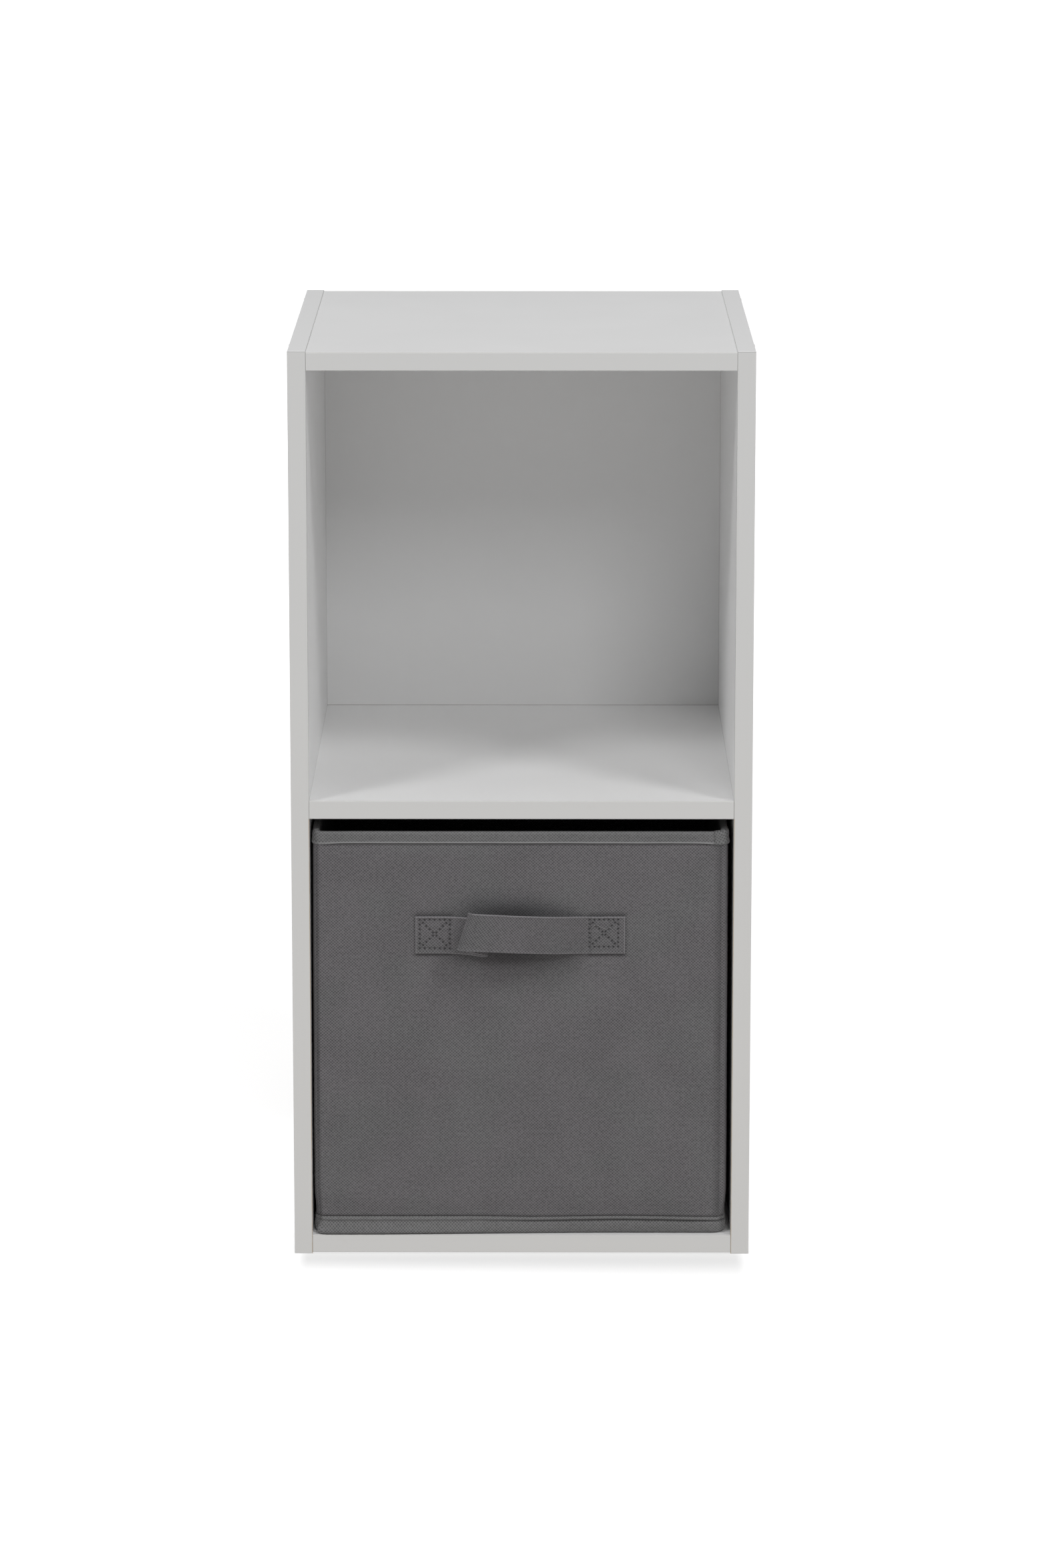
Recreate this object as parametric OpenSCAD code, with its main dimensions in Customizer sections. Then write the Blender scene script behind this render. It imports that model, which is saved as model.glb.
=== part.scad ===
// Small open shelving unit, two cube compartments high, with a collapsible cloth box in the lower one.
// The boards are joined by screws and dowels, and a thin back panel is nailed on their rear edges.
// Millimetres. The floor is z = 0, the front faces -Y, and the origin is under the middle of the object.

/* [Shelf] */
// Width over the two side panels
shelf_w = 305; // [250:1:400]
// Height of the side panels
shelf_h = 613; // [500:1:800]
// Depth of a board with its front band, without the back panel
board_d = 292; // [240:1:400]
// Thickness of the boards
board_t = 12; // [10:1:18]
// How far the top and bottom panels are set in from the ends of the side panels
end_reveal = 0.8; // [0.4:0.1:6]
// Thickness of the laminate edge bands
band_t = 0.4; // [0.3:0.1:2]
// Thickness of the back panel
back_t = 3; // [2:0.5:6]
// How far the edges of the back panel lie inside the outline of the boards
back_inset = 2; // [0.5:0.5:4]

/* [Joints] */
// Distance of each joint screw from the front and from the rear of its board
screw_in = 37; // [25:1:60]
// Distance from a screw to the dowel beside it
dowel_pitch = 32; // [16:1:50]
// Diameter of a screw's shank
screw_d = 5; // [3:0.5:6]
// Length of a screw from the top of its head
screw_l = 40; // [30:1:50]
// Diameter of a screw's head
screw_head_d = 8; // [7.5:0.5:9]
// Height of the straight rim of the head
screw_head_rim = 0.6; // [0.3:0.1:1]
// Height of the cone under the rim
screw_head_cone = 2.4; // [1:0.1:3]
// How deep the head lies below the face of the side panel
screw_sink = 0.2; // [0.1:0.1:1]
// Width across the flats of the hex socket
socket_w = 3; // [2:0.1:4]
// Depth of the hex socket
socket_h = 2.2; // [1.5:0.1:2.6]
// Diameter of a screw cap
cap_d = 12; // [10:0.5:16]
// Height of a screw cap at its middle
cap_h = 0.8; // [0.5:0.1:2]
// Diameter of a dowel
dowel_d = 6; // [4:0.5:8]
// Length of a dowel
dowel_l = 30; // [20:1:40]
// How far a dowel reaches into the side panel
dowel_in = 8; // [6:0.5:8.5]
// Clearance all round a screw, dowel or nail in its hole, and a cap's stem in its socket
hole_gap = 0.1; // [0.05:0.05:0.3]

/* [Back nails] */
// Diameter of a nail's shank
nail_d = 1.4; // [1:0.1:2]
// Length of a nail under its head
nail_l = 18; // [12:1:24]
// Diameter of a nail's head
nail_head_d = 3.4; // [3:0.1:5]
// Thickness of a nail's head
nail_head_h = 0.6; // [0.4:0.1:1]
// Number of nails up each side panel
side_nails = 5; // [3:1:9]
// Distance of the lowest and the highest of them from the ends of the side panel
nail_margin = 26; // [15:1:60]
// Distance of each nail in a shelf or panel from the middle of the board
nail_spread = 47; // [20:1:80]

/* [Cloth box] */
// Gap between the box and the left side panel
box_gap_left = 1.5; // [0.8:0.1:6]
// Gap between the box and the right side panel
box_gap_right = 3.3; // [0.8:0.1:6]
// Gap between the rim of the box and the middle shelf
box_gap_top = 9.9; // [6:0.1:30]
// How far the box stands back from the front edges of the boards
box_setback = 4.5; // [0:0.5:30]
// Gap between the box and the back panel
box_gap_rear = 7.5; // [2:0.5:30]
// Gap between the box and the panel that it stands on, and between the insert and the base cloth
rest_gap = 0.3; // [0.2:0.05:0.5]
// Radius of the box's upright corners
corner_r = 5; // [5:0.5:20]
// Thickness of the cloth
cloth_t = 0.6; // [0.4:0.1:1]
// Thickness of the card in the walls and in the insert
card_t = 2; // [1.5:0.1:3]
// Clearance between two layers
layer_gap = 0.1; // [0.05:0.05:0.2]
// Free cloth between the round of a corner and the end of a card, which lets the box fold
hinge_gap = 1; // [0.5:0.5:5]
// How far the card ends below the fold of the rim
card_drop = 1; // [0.5:0.5:10]
// Height of the folded strip over the rim
rim_h = 8; // [5:0.5:20]
// Height of the strip round the foot
foot_h = 10; // [5:0.5:20]
// Gap between the insert and the lining
insert_gap = 1.5; // [1:0.1:4]
// Radius of the insert's corners
insert_r = 3; // [2:0.5:20]

/* [Handle strap] */
// Width of the strap
strap_w = 25.5; // [15:0.5:40]
// Thickness of the doubled strap
strap_t = 1.2; // [0.8:0.1:2]
// Distance between the two ends of the strap
strap_span = 139.5; // [100:0.5:180]
// Length of strap that lies flat at each end, where it is sewn down
strap_sewn = 23.2; // [15:0.1:30]
// Distance of the middle of the strap below the rim of the box
strap_down = 70.2; // [40:0.1:110]
// How far the slack loop stands off the box
loop_out = 19; // [14:0.5:30]
// How far the fold of the loop lies above the sewn ends
loop_rise = 6.3; // [0:0.1:10]
// Sideways lean of the fold, from its lower end to its upper end
loop_lean = 7.6; // [-10:0.1:10]

/* [Hidden] */
$fn = 64;

laminate = [0.79, 0.78, 0.77];
band = [0.77, 0.76, 0.75];
hardboard = [0.72, 0.72, 0.70];
beech = [0.80, 0.66, 0.46];
zinc = [0.70, 0.71, 0.72];
cap_plastic = [0.86, 0.86, 0.85];
cloth = [0.37, 0.36, 0.37];
trim_cloth = [0.40, 0.40, 0.41];
grey_card = [0.58, 0.56, 0.52];

// Clear sizes of a compartment.
opening_w = shelf_w - 2 * board_t;
opening_h = (shelf_h - 2 * end_reveal - 3 * board_t) / 2;

// Height of the underside of each board.
bottom_z = end_reveal;
middle_z = bottom_z + board_t + opening_h;
top_z = middle_z + board_t + opening_h;

// Outline of the cloth box over its rim and foot strips, and of the outer cover inside them.
wrap = cloth_t + layer_gap;
box_w = opening_w - box_gap_left - box_gap_right;
box_d = board_d - box_setback - box_gap_rear;
cover_w = box_w - 2 * wrap;
cover_d = box_d - 2 * wrap;
wall_t = 2 * wrap + card_t;
foot_z = bottom_z + board_t + rest_gap;
rim_z = middle_z - box_gap_top;
box_x = (box_gap_left - box_gap_right) / 2;

// Knots along the middle of the strap: distance from its centre, stand-off from the cover, rise and lean.
// The strap leaves its left end to the right, doubles back to the left, and folds again into the front layer.
flat = layer_gap + strap_t / 2;
free = strap_span / 2 - strap_sewn;
strap_knots = [
    [-strap_span / 2, flat, 0, 0],
    [-free - strap_sewn / 2, flat, 0, 0],
    [-free, flat, 0, 0],
    [-0.76 * free, 0.11 * loop_out, -0.06 * loop_rise, 0],
    [-0.58 * free, 0.24 * loop_out, -0.16 * loop_rise, -0.2 * loop_lean],
    [-0.49 * free, 0.38 * loop_out, 0, -0.3 * loop_lean],
    [-0.58 * free, 0.53 * loop_out, 0.3 * loop_rise, 0],
    [-0.72 * free, 0.62 * loop_out, 0.7 * loop_rise, 0.6 * loop_lean],
    [-0.81 * free, 0.78 * loop_out, loop_rise, loop_lean],
    [-0.73 * free, 0.94 * loop_out, 1.02 * loop_rise, loop_lean],
    [-0.45 * free, loop_out, 0.96 * loop_rise, 0.8 * loop_lean],
    [0, 0.92 * loop_out, 0.76 * loop_rise, 0.4 * loop_lean],
    [0.45 * free, 0.6 * loop_out, 0.42 * loop_rise, 0.1 * loop_lean],
    [0.8 * free, 0.2 * loop_out, 0.12 * loop_rise, 0],
    [free, flat, 0, 0],
    [free + strap_sewn / 2, flat, 0, 0],
    [strap_span / 2, flat, 0, 0]
];
strap_steps = 4;

function between(a, b, c, d, t) =
    0.5 * (2 * b + (c - a) * t + (2 * a - 5 * b + 4 * c - d) * t * t + (3 * b - a - 3 * c + d) * t * t * t);
function smooth_path(p, n) = [
    for (i = [0:len(p) - 2], k = [0:n - 1])
        between(p[max(i - 1, 0)], p[i], p[i + 1], p[min(i + 2, len(p) - 1)], k / n),
    p[len(p) - 1]
];

strap_path = [for (p = smooth_path(strap_knots, strap_steps)) [p.x, max(p.y, flat), p[2], p[3]]];

// The strap stands out in front of the boards, and the nails' heads stand out behind the back panel.
strap_reach = max([for (p = strap_path) p.y]) + strap_t / 2 - box_setback - wrap;
total_d = strap_reach + board_d + back_t + nail_head_h;
front_y = strap_reach - total_d / 2;
rear_y = front_y + board_d;
box_y = front_y + box_setback + box_d / 2;
cover_y = front_y + box_setback + wrap;

screw_ys = [front_y + screw_in, rear_y - screw_in];
dowel_ys = [front_y + screw_in + dowel_pitch, rear_y - screw_in - dowel_pitch];
board_zs = [bottom_z, middle_z, top_z];

nail_step = (shelf_h - 2 * nail_margin) / (side_nails - 1);
nail_points = [
    for (side = [-1, 1], i = [0:side_nails - 1])
        [side * (shelf_w - board_t) / 2, nail_margin + i * nail_step],
    for (side = [-1, 1], z = board_zs)
        [side * nail_spread, z + board_t / 2]
];

// Puts its children at a joint of the board at height z, pointing inwards from the side panel's outer face.
module at_joints(side, z, ys) {
    for (y = ys)
        translate([side * shelf_w / 2, y, z + board_t / 2])
            rotate([0, -side * 90, 0]) children();
}

module at_nails() {
    for (p = nail_points)
        translate([p.x, rear_y + back_t, p.y]) rotate([90, 0, 0]) children();
}

module hexagon(across, height) {
    cylinder(d = across / cos(30), h = height, $fn = 6);
}

module screw() {
    difference() {
        translate([0, 0, screw_sink]) rotate_extrude() polygon([
            [0, 0],
            [screw_head_d / 2, 0],
            [screw_head_d / 2, screw_head_rim],
            [screw_d / 2, screw_head_rim + screw_head_cone],
            [screw_d / 2, screw_l - screw_d / 2],
            [0, screw_l]
        ]);
        hexagon(socket_w, screw_sink + socket_h);
    }
}

module screw_hole() {
    head_r = screw_head_d / 2 + hole_gap;
    shank_r = screw_d / 2 + hole_gap;
    head_end = screw_sink + screw_head_rim + hole_gap;
    translate([0, 0, -1]) cylinder(r = head_r, h = head_end + 1);
    translate([0, 0, head_end]) cylinder(r1 = head_r, r2 = shank_r, h = screw_head_cone);
    cylinder(r = shank_r, h = screw_sink + screw_l + hole_gap);
}

module screw_cap() {
    rotate_extrude() polygon([
        [0, 0],
        [cap_d / 2, 0],
        [cap_d / 2, -0.45 * cap_h],
        [0.44 * cap_d, -0.8 * cap_h],
        [0.25 * cap_d, -cap_h],
        [0, -cap_h]
    ]);
    hexagon(socket_w - 2 * hole_gap, screw_sink + socket_h - 4 * hole_gap);
}

module dowel() {
    chamfer = dowel_d / 8;
    translate([0, 0, board_t - dowel_in]) rotate_extrude() polygon([
        [0, 0],
        [dowel_d / 2 - chamfer, 0],
        [dowel_d / 2, chamfer],
        [dowel_d / 2, dowel_l - chamfer],
        [dowel_d / 2 - chamfer, dowel_l],
        [0, dowel_l]
    ]);
}

module dowel_hole() {
    translate([0, 0, board_t - dowel_in - hole_gap])
        cylinder(r = dowel_d / 2 + hole_gap, h = dowel_l + 2 * hole_gap);
}

module nail() {
    translate([0, 0, -nail_head_h]) cylinder(d = nail_head_d, h = nail_head_h);
    cylinder(d = nail_d, h = nail_l - nail_d);
    translate([0, 0, nail_l - nail_d]) cylinder(r1 = nail_d / 2, r2 = 0.1, h = nail_d);
}

module nail_hole() {
    translate([0, 0, -1]) cylinder(r = nail_d / 2 + hole_gap, h = nail_l + hole_gap + 1);
}

// One upright board, drilled at its three joints, without its bands.
module side_panel(side) {
    color(laminate) difference() {
        translate([side * (shelf_w - board_t) / 2 - board_t / 2, front_y + band_t, 0])
            cube([board_t, board_d - band_t, shelf_h - band_t]);
        for (z = board_zs) {
            at_joints(side, z, screw_ys) screw_hole();
            at_joints(side, z, dowel_ys) dowel_hole();
        }
        at_nails() nail_hole();
    }
}

// One level board between the sides, drilled in its ends, without its band.
module level_board(z) {
    color(laminate) difference() {
        translate([-opening_w / 2, front_y + band_t, z]) cube([opening_w, board_d - band_t, board_t]);
        for (side = [-1, 1]) {
            at_joints(side, z, screw_ys) screw_hole();
            at_joints(side, z, dowel_ys) dowel_hole();
        }
        at_nails() nail_hole();
    }
}

module side_front_band(side) {
    color(band) translate([side * (shelf_w - board_t) / 2 - board_t / 2, front_y, 0])
        cube([board_t, band_t, shelf_h]);
}

module side_top_band(side) {
    color(band)
        translate([side * (shelf_w - board_t) / 2 - board_t / 2, front_y + band_t, shelf_h - band_t])
            cube([board_t, board_d - band_t, band_t]);
}

module level_front_band(z) {
    color(band) translate([-opening_w / 2, front_y, z]) cube([opening_w, band_t, board_t]);
}

module joint_screws(z) {
    color(zinc) for (side = [-1, 1]) at_joints(side, z, screw_ys) screw();
}

module joint_dowels(z) {
    color(beech) for (side = [-1, 1]) at_joints(side, z, dowel_ys) dowel();
}

module screw_caps(side) {
    color(cap_plastic) for (z = board_zs) at_joints(side, z, screw_ys) screw_cap();
}

module back_panel() {
    color(hardboard) difference() {
        translate([back_inset - shelf_w / 2, rear_y, back_inset])
            cube([shelf_w - 2 * back_inset, back_t, shelf_h - 2 * back_inset]);
        at_nails() nail_hole();
    }
}

module back_panel_nails() {
    color(zinc) at_nails() nail();
}

// Outline of the box drawn in by a distance, or let out if it is negative, with concentric corners.
module box_outline(inset) {
    w = cover_w - 2 * inset;
    d = cover_d - 2 * inset;
    r = max(corner_r - inset, 0.4);
    square([w - 2 * r, d], center = true);
    square([w, d - 2 * r], center = true);
    for (x = [-1, 1], y = [-1, 1])
        translate([x * (w / 2 - r), y * (d / 2 - r)]) circle(r);
}

// One layer of cloth round the four walls, from one inset to a deeper one.
module wall_layer(outer, inner, z, height) {
    translate([box_x, box_y, z]) linear_extrude(height) difference() {
        box_outline(outer);
        box_outline(inner);
    }
}

module outer_cover() {
    z = foot_z + wrap;
    color(cloth) wall_layer(0, cloth_t, z, rim_z - wrap - z);
}

module lining() {
    z = foot_z + wrap;
    color(cloth) wall_layer(wall_t - cloth_t, wall_t, z, rim_z - wrap - z);
}

module base_cloth() {
    color(cloth) translate([box_x, box_y, foot_z]) linear_extrude(cloth_t) box_outline(0);
}

module lower_band() {
    color(trim_cloth) wall_layer(-wrap, -layer_gap, foot_z, foot_h);
}

// The strip goes over the edges of the cover, the card and the lining, and down both sides.
module rim_binding() {
    color(trim_cloth) {
        wall_layer(-wrap, -layer_gap, rim_z - rim_h, rim_h);
        wall_layer(wall_t + layer_gap, wall_t + wrap, rim_z - rim_h, rim_h);
        wall_layer(-wrap, wall_t + wrap, rim_z - cloth_t, cloth_t);
    }
}

// A card in the wall that faces along the given turn; across is the box's size that way, along its length.
module stiffener(turn, across, along) {
    z = foot_z + wrap;
    length = along - 2 * (corner_r + hinge_gap);
    color(grey_card) translate([box_x, box_y, z]) rotate([0, 0, turn])
        translate([-length / 2, -across / 2 + wrap, 0])
            cube([length, card_t, rim_z - wrap - card_drop - z]);
}

// One cross-section of the strap: its four corners where the path is at a knot p and runs along dir.
function strap_ring(p, dir) =
    let (n = [-dir.y, dir.x] / norm(dir) * strap_t / 2)
    [
        for (c = [[-1, -1], [1, -1], [1, 1], [-1, 1]]) [
            p.x + c.x * n.x + c.y * p[3] / 2,
            -p.y - c.x * n.y,
            p[2] + c.y * strap_w / 2
        ]
    ];

module handle_strap() {
    last = len(strap_path) - 1;
    rings = [
        for (i = [0:last])
            let (dir = strap_path[min(i + 1, last)] - strap_path[max(i - 1, 0)])
            strap_ring(strap_path[i], [dir.x, dir.y])
    ];
    sides = [
        for (i = [0:last - 1], k = [0:3])
            let (a = 4 * i + k, b = 4 * i + (k + 1) % 4)
            each [[a, b, b + 4], [a, b + 4, a + 4]]
    ];
    ends = [[0, 2, 1], [0, 3, 2], [4 * last, 4 * last + 1, 4 * last + 2], [4 * last, 4 * last + 2, 4 * last + 3]];
    color(cloth) translate([box_x, cover_y, rim_z - strap_down])
        polyhedron([for (r = rings) each r], concat(sides, ends), convexity = 6);
}

// The insert is a card in a closed cloth cover, lying loose on the base cloth.
module insert_outline(inset) {
    w = cover_w - 2 * (wall_t + insert_gap + inset);
    d = cover_d - 2 * (wall_t + insert_gap + inset);
    r = max(insert_r - inset, 0.4);
    square([w - 2 * r, d], center = true);
    square([w, d - 2 * r], center = true);
    for (x = [-1, 1], y = [-1, 1])
        translate([x * (w / 2 - r), y * (d / 2 - r)]) circle(r);
}

insert_z = foot_z + cloth_t + rest_gap;

module insert_board() {
    color(grey_card) translate([box_x, box_y, insert_z + wrap])
        linear_extrude(card_t) insert_outline(wrap);
}

module insert_cover() {
    color(cloth) translate([box_x, box_y, insert_z]) difference() {
        linear_extrude(card_t + 2 * wrap) insert_outline(0);
        translate([0, 0, cloth_t]) linear_extrude(card_t + 2 * layer_gap) insert_outline(cloth_t);
    }
}

side_panel(-1);  // left_side_panel
side_panel(1);  // right_side_panel
level_board(top_z);  // top_panel
level_board(middle_z);  // middle_shelf
level_board(bottom_z);  // bottom_panel
back_panel();
side_front_band(-1);  // left_side_front_band
side_front_band(1);  // right_side_front_band
side_top_band(-1);  // left_side_top_band
side_top_band(1);  // right_side_top_band
level_front_band(top_z);  // top_panel_front_band
level_front_band(middle_z);  // middle_shelf_front_band
level_front_band(bottom_z);  // bottom_panel_front_band
joint_screws(top_z);  // top_panel_screws
joint_screws(middle_z);  // middle_shelf_screws
joint_screws(bottom_z);  // bottom_panel_screws
joint_dowels(top_z);  // top_panel_dowels
joint_dowels(middle_z);  // middle_shelf_dowels
joint_dowels(bottom_z);  // bottom_panel_dowels
screw_caps(-1);  // left_screw_caps
screw_caps(1);  // right_screw_caps
back_panel_nails();
outer_cover();
base_cloth();
lining();
stiffener(0, cover_d, cover_w);  // front_stiffener
stiffener(180, cover_d, cover_w);  // rear_stiffener
stiffener(-90, cover_w, cover_d);  // left_stiffener
stiffener(90, cover_w, cover_d);  // right_stiffener
rim_binding();
lower_band();
handle_strap();
insert_board();
insert_cover();
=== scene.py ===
"""A small open shelving unit with a collapsible cloth box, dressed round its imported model.

Lengths are in metres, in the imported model's own frame: +Z is up, and the open front faces -Y.
"""

from __future__ import annotations

import logging
import math
from dataclasses import dataclass
from enum import Enum
from functools import lru_cache
from typing import Callable, Iterable, Sequence, Union

import bmesh
import bpy
from mathutils import Matrix, Vector, noise

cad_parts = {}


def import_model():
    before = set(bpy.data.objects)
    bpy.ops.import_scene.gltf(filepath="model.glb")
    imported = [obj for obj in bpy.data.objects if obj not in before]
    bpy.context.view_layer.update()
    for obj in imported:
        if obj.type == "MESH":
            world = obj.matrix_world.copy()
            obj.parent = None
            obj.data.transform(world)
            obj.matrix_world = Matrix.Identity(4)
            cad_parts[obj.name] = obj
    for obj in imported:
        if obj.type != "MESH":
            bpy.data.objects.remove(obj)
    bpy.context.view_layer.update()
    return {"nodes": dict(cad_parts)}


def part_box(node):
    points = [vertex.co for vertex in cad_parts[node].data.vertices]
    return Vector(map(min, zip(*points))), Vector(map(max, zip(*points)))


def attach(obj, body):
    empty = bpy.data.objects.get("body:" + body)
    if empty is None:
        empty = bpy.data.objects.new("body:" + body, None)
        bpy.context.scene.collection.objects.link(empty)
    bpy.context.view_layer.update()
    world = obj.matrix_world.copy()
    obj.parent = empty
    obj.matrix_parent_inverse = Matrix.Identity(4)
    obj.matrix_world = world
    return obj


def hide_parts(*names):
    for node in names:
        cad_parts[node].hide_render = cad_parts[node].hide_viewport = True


MM = 0.001
TAU = 2 * math.pi
LOG = logging.getLogger("shelf")
UV_NAME = "cloth_mm"
BOARDS = ("top_panel", "middle_shelf", "bottom_panel")
CARDS = ("front_stiffener", "rear_stiffener", "left_stiffener", "right_stiffener")

Colour = tuple[float, float, float]
Number = Union[float, "Wire"]


class Body(Enum):
    """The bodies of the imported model."""

    SHELF = "shelf"
    BOX = "box"
    INSERT = "insert"


class Side(Enum):
    """A side of the shelf, seen from the front."""

    LEFT = -1
    RIGHT = 1


@lru_cache(maxsize=None)
def span(node: str) -> tuple[Vector, Vector]:
    """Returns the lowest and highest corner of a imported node, which is measured once."""
    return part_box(node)


def srgb(*levels: float) -> Colour:
    """Turns red, green and blue from 0 to 255, as a screen shows them, into linear light from 0 to 1."""
    shares = (level / 255 for level in levels)
    return tuple(share / 12.92 if share <= 0.04045 else ((share + 0.055) / 1.055) ** 2.4 for share in shares)


def grey(level: float) -> Colour:
    """Returns a grey in linear light."""
    return level, level, level


def scaled(colour: Colour, factor: float) -> Colour:
    """Returns a colour made lighter or darker."""
    return tuple(min(channel * factor, 1.0) for channel in colour)


def ease(low: float, high: float, value: float) -> float:
    """Returns a smooth step from 0 at low to 1 at high."""
    share = min(max((value - low) / (high - low), 0.0), 1.0)
    return share * share * (3 - 2 * share)


def bell(distance: float, width: float) -> float:
    """Returns a bell curve: 1 at no distance, and about a third at one width."""
    return math.exp(-((distance / width) ** 2))


class Wire:
    """An output socket that takes arithmetic: each operator adds one Math node."""

    def __init__(self, shader: Shader, socket: bpy.types.NodeSocket) -> None:
        """Wraps a socket of a shader's tree."""
        self.shader = shader
        self.socket = socket

    def __add__(self, other: Number) -> Wire:
        """Adds a number or a wire."""
        return self.shader.math("ADD", self, other)

    __radd__ = __add__

    def __mul__(self, other: Number) -> Wire:
        """Multiplies by a number or a wire."""
        return self.shader.math("MULTIPLY", self, other)

    __rmul__ = __mul__

    def __sub__(self, other: Number) -> Wire:
        """Subtracts a number or a wire."""
        return self.shader.math("SUBTRACT", self, other)

    def __rsub__(self, other: Number) -> Wire:
        """Subtracts this wire from a number."""
        return self.shader.math("SUBTRACT", other, self)

    def __truediv__(self, other: Number) -> Wire:
        """Divides by a number or a wire."""
        return self.shader.math("DIVIDE", self, other)

    def __abs__(self) -> Wire:
        """Drops the sign."""
        return self.shader.math("ABSOLUTE", self)

    def cos(self) -> Wire:
        """Takes the cosine."""
        return self.shader.math("COSINE", self)

    def over(self, limit: float) -> Wire:
        """Returns 1 where the wire is over a limit, and 0 elsewhere."""
        return self.shader.math("GREATER_THAN", self, limit)

    def most(self, other: Number) -> Wire:
        """Returns the larger of the two."""
        return self.shader.math("MAXIMUM", self, other)

    def eased(self, low: float, high: float) -> Wire:
        """Returns a smooth step from 0 at low to 1 at high."""
        inputs = {"Value": self, "From Min": low, "From Max": high}
        return self.shader.node("ShaderNodeMapRange", inputs, interpolation_type="SMOOTHSTEP")

    def near(self, inner: float, outer: float) -> Wire:
        """Returns 1 within an inner distance of zero, and 0 beyond an outer one."""
        return 1 - abs(self).eased(inner, outer)


class Shader:
    """A node tree whose nodes are made by one method, and whose maths is written with wires."""

    def __init__(self, owner: bpy.types.Material | bpy.types.World) -> None:
        """Clears the tree of a material or of the world.

        Args:
            owner: the material or the world.
        """
        owner.use_nodes = True
        self.owner = owner
        self.tree = owner.node_tree
        self.tree.nodes.clear()

    def node(self, kind: str, inputs: dict | None = None, output: int | str = 0, **settings: object) -> Wire:
        """Makes any node.

        Args:
            kind: the node's type.
            inputs: the values or wires of its sockets, by name or number.
            output: the name or number of the socket that is wanted.
            settings: its settings, which are set first; stops is a ramp's list of places and colours.

        Returns:
            The wanted socket.
        """
        made = self.tree.nodes.new(kind)
        stops = settings.pop("stops", ())
        while stops and len(made.color_ramp.elements) < len(stops):
            made.color_ramp.elements.new(1.0)
        for number, (place, colour) in enumerate(stops):
            element = made.color_ramp.elements[number]
            element.position, element.color = place, (*colour, 1.0)
        for name, value in settings.items():
            setattr(made, name, value)
        for name, value in (inputs or {}).items():
            socket = made.inputs[name]
            if isinstance(value, Wire):
                self.tree.links.new(value.socket, socket)
            elif isinstance(value, tuple) and socket.type == "RGBA":
                socket.default_value = (*value, 1.0)
            else:
                socket.default_value = value
        return Wire(self, made.outputs[output] if made.outputs else None)

    def math(self, operation: str, *values: Number) -> Wire:
        """Adds one Math node."""
        return self.node("ShaderNodeMath", dict(enumerate(values)), operation=operation)

    def place(self) -> Wire:
        """Returns the place on the object, in its own axes."""
        return self.node("ShaderNodeTexCoord", output="Object")

    def attribute(self, name: str) -> Wire:
        """Returns a number stored on the mesh."""
        return self.node("ShaderNodeAttribute", output="Fac", attribute_name=name)

    def axes(self, vector: Wire) -> list[Wire]:
        """Splits a vector into its three parts."""
        first = self.node("ShaderNodeSeparateXYZ", {0: vector})
        return [Wire(self, socket) for socket in first.socket.node.outputs]

    def stretched(self, vector: Wire, scale: Colour) -> Wire:
        """Scales a place along each axis."""
        return self.node("ShaderNodeMapping", {"Vector": vector, "Scale": scale})

    def noise(self, vector: Wire, scale: float, detail: float = 2.0, roughness: float = 0.5) -> Wire:
        """Returns smooth noise from 0 to 1, with features of 1/scale metres."""
        inputs = {"Vector": vector, "Scale": scale, "Detail": detail, "Roughness": roughness}
        return self.node("ShaderNodeTexNoise", inputs)

    def flakes(self, vector: Wire, scale: float) -> Wire:
        """Returns one grey level for each of many small cells."""
        cells = self.node("ShaderNodeTexVoronoi", {"Vector": vector, "Scale": scale}, "Color")
        return self.node("ShaderNodeSeparateColor", {0: cells})

    def mixed(self, share: Wire, first: Colour | Wire, second: Colour | Wire) -> Wire:
        """Mixes two colours: the first where share is 0, the second where it is 1."""
        return self.node("ShaderNodeMix", {0: share, 6: first, 7: second}, 2, data_type="RGBA")

    def bumped(self, height: Wire, depth: float, strength: float = 1.0) -> Wire:
        """Returns normals for a height from 0 to 1 that stands for a depth in metres."""
        return self.node("ShaderNodeBump", {"Height": height, "Distance": depth, "Strength": strength})

    def finished(self, **inputs: Number | Colour | Wire) -> bpy.types.Material:
        """Adds the Principled shader.

        Args:
            inputs: the values or wires of its sockets, with spaces in their names written as underscores.

        Returns:
            The finished material.
        """
        named = {key.replace("_", " "): value for key, value in inputs.items()}
        surface = self.node("ShaderNodeBsdfPrincipled", named)
        self.node("ShaderNodeOutputMaterial", {"Surface": surface})
        return self.owner


def new_shader(name: str) -> Shader:
    """Makes a material of a name with an empty tree."""
    return Shader(bpy.data.materials.new(name))


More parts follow.
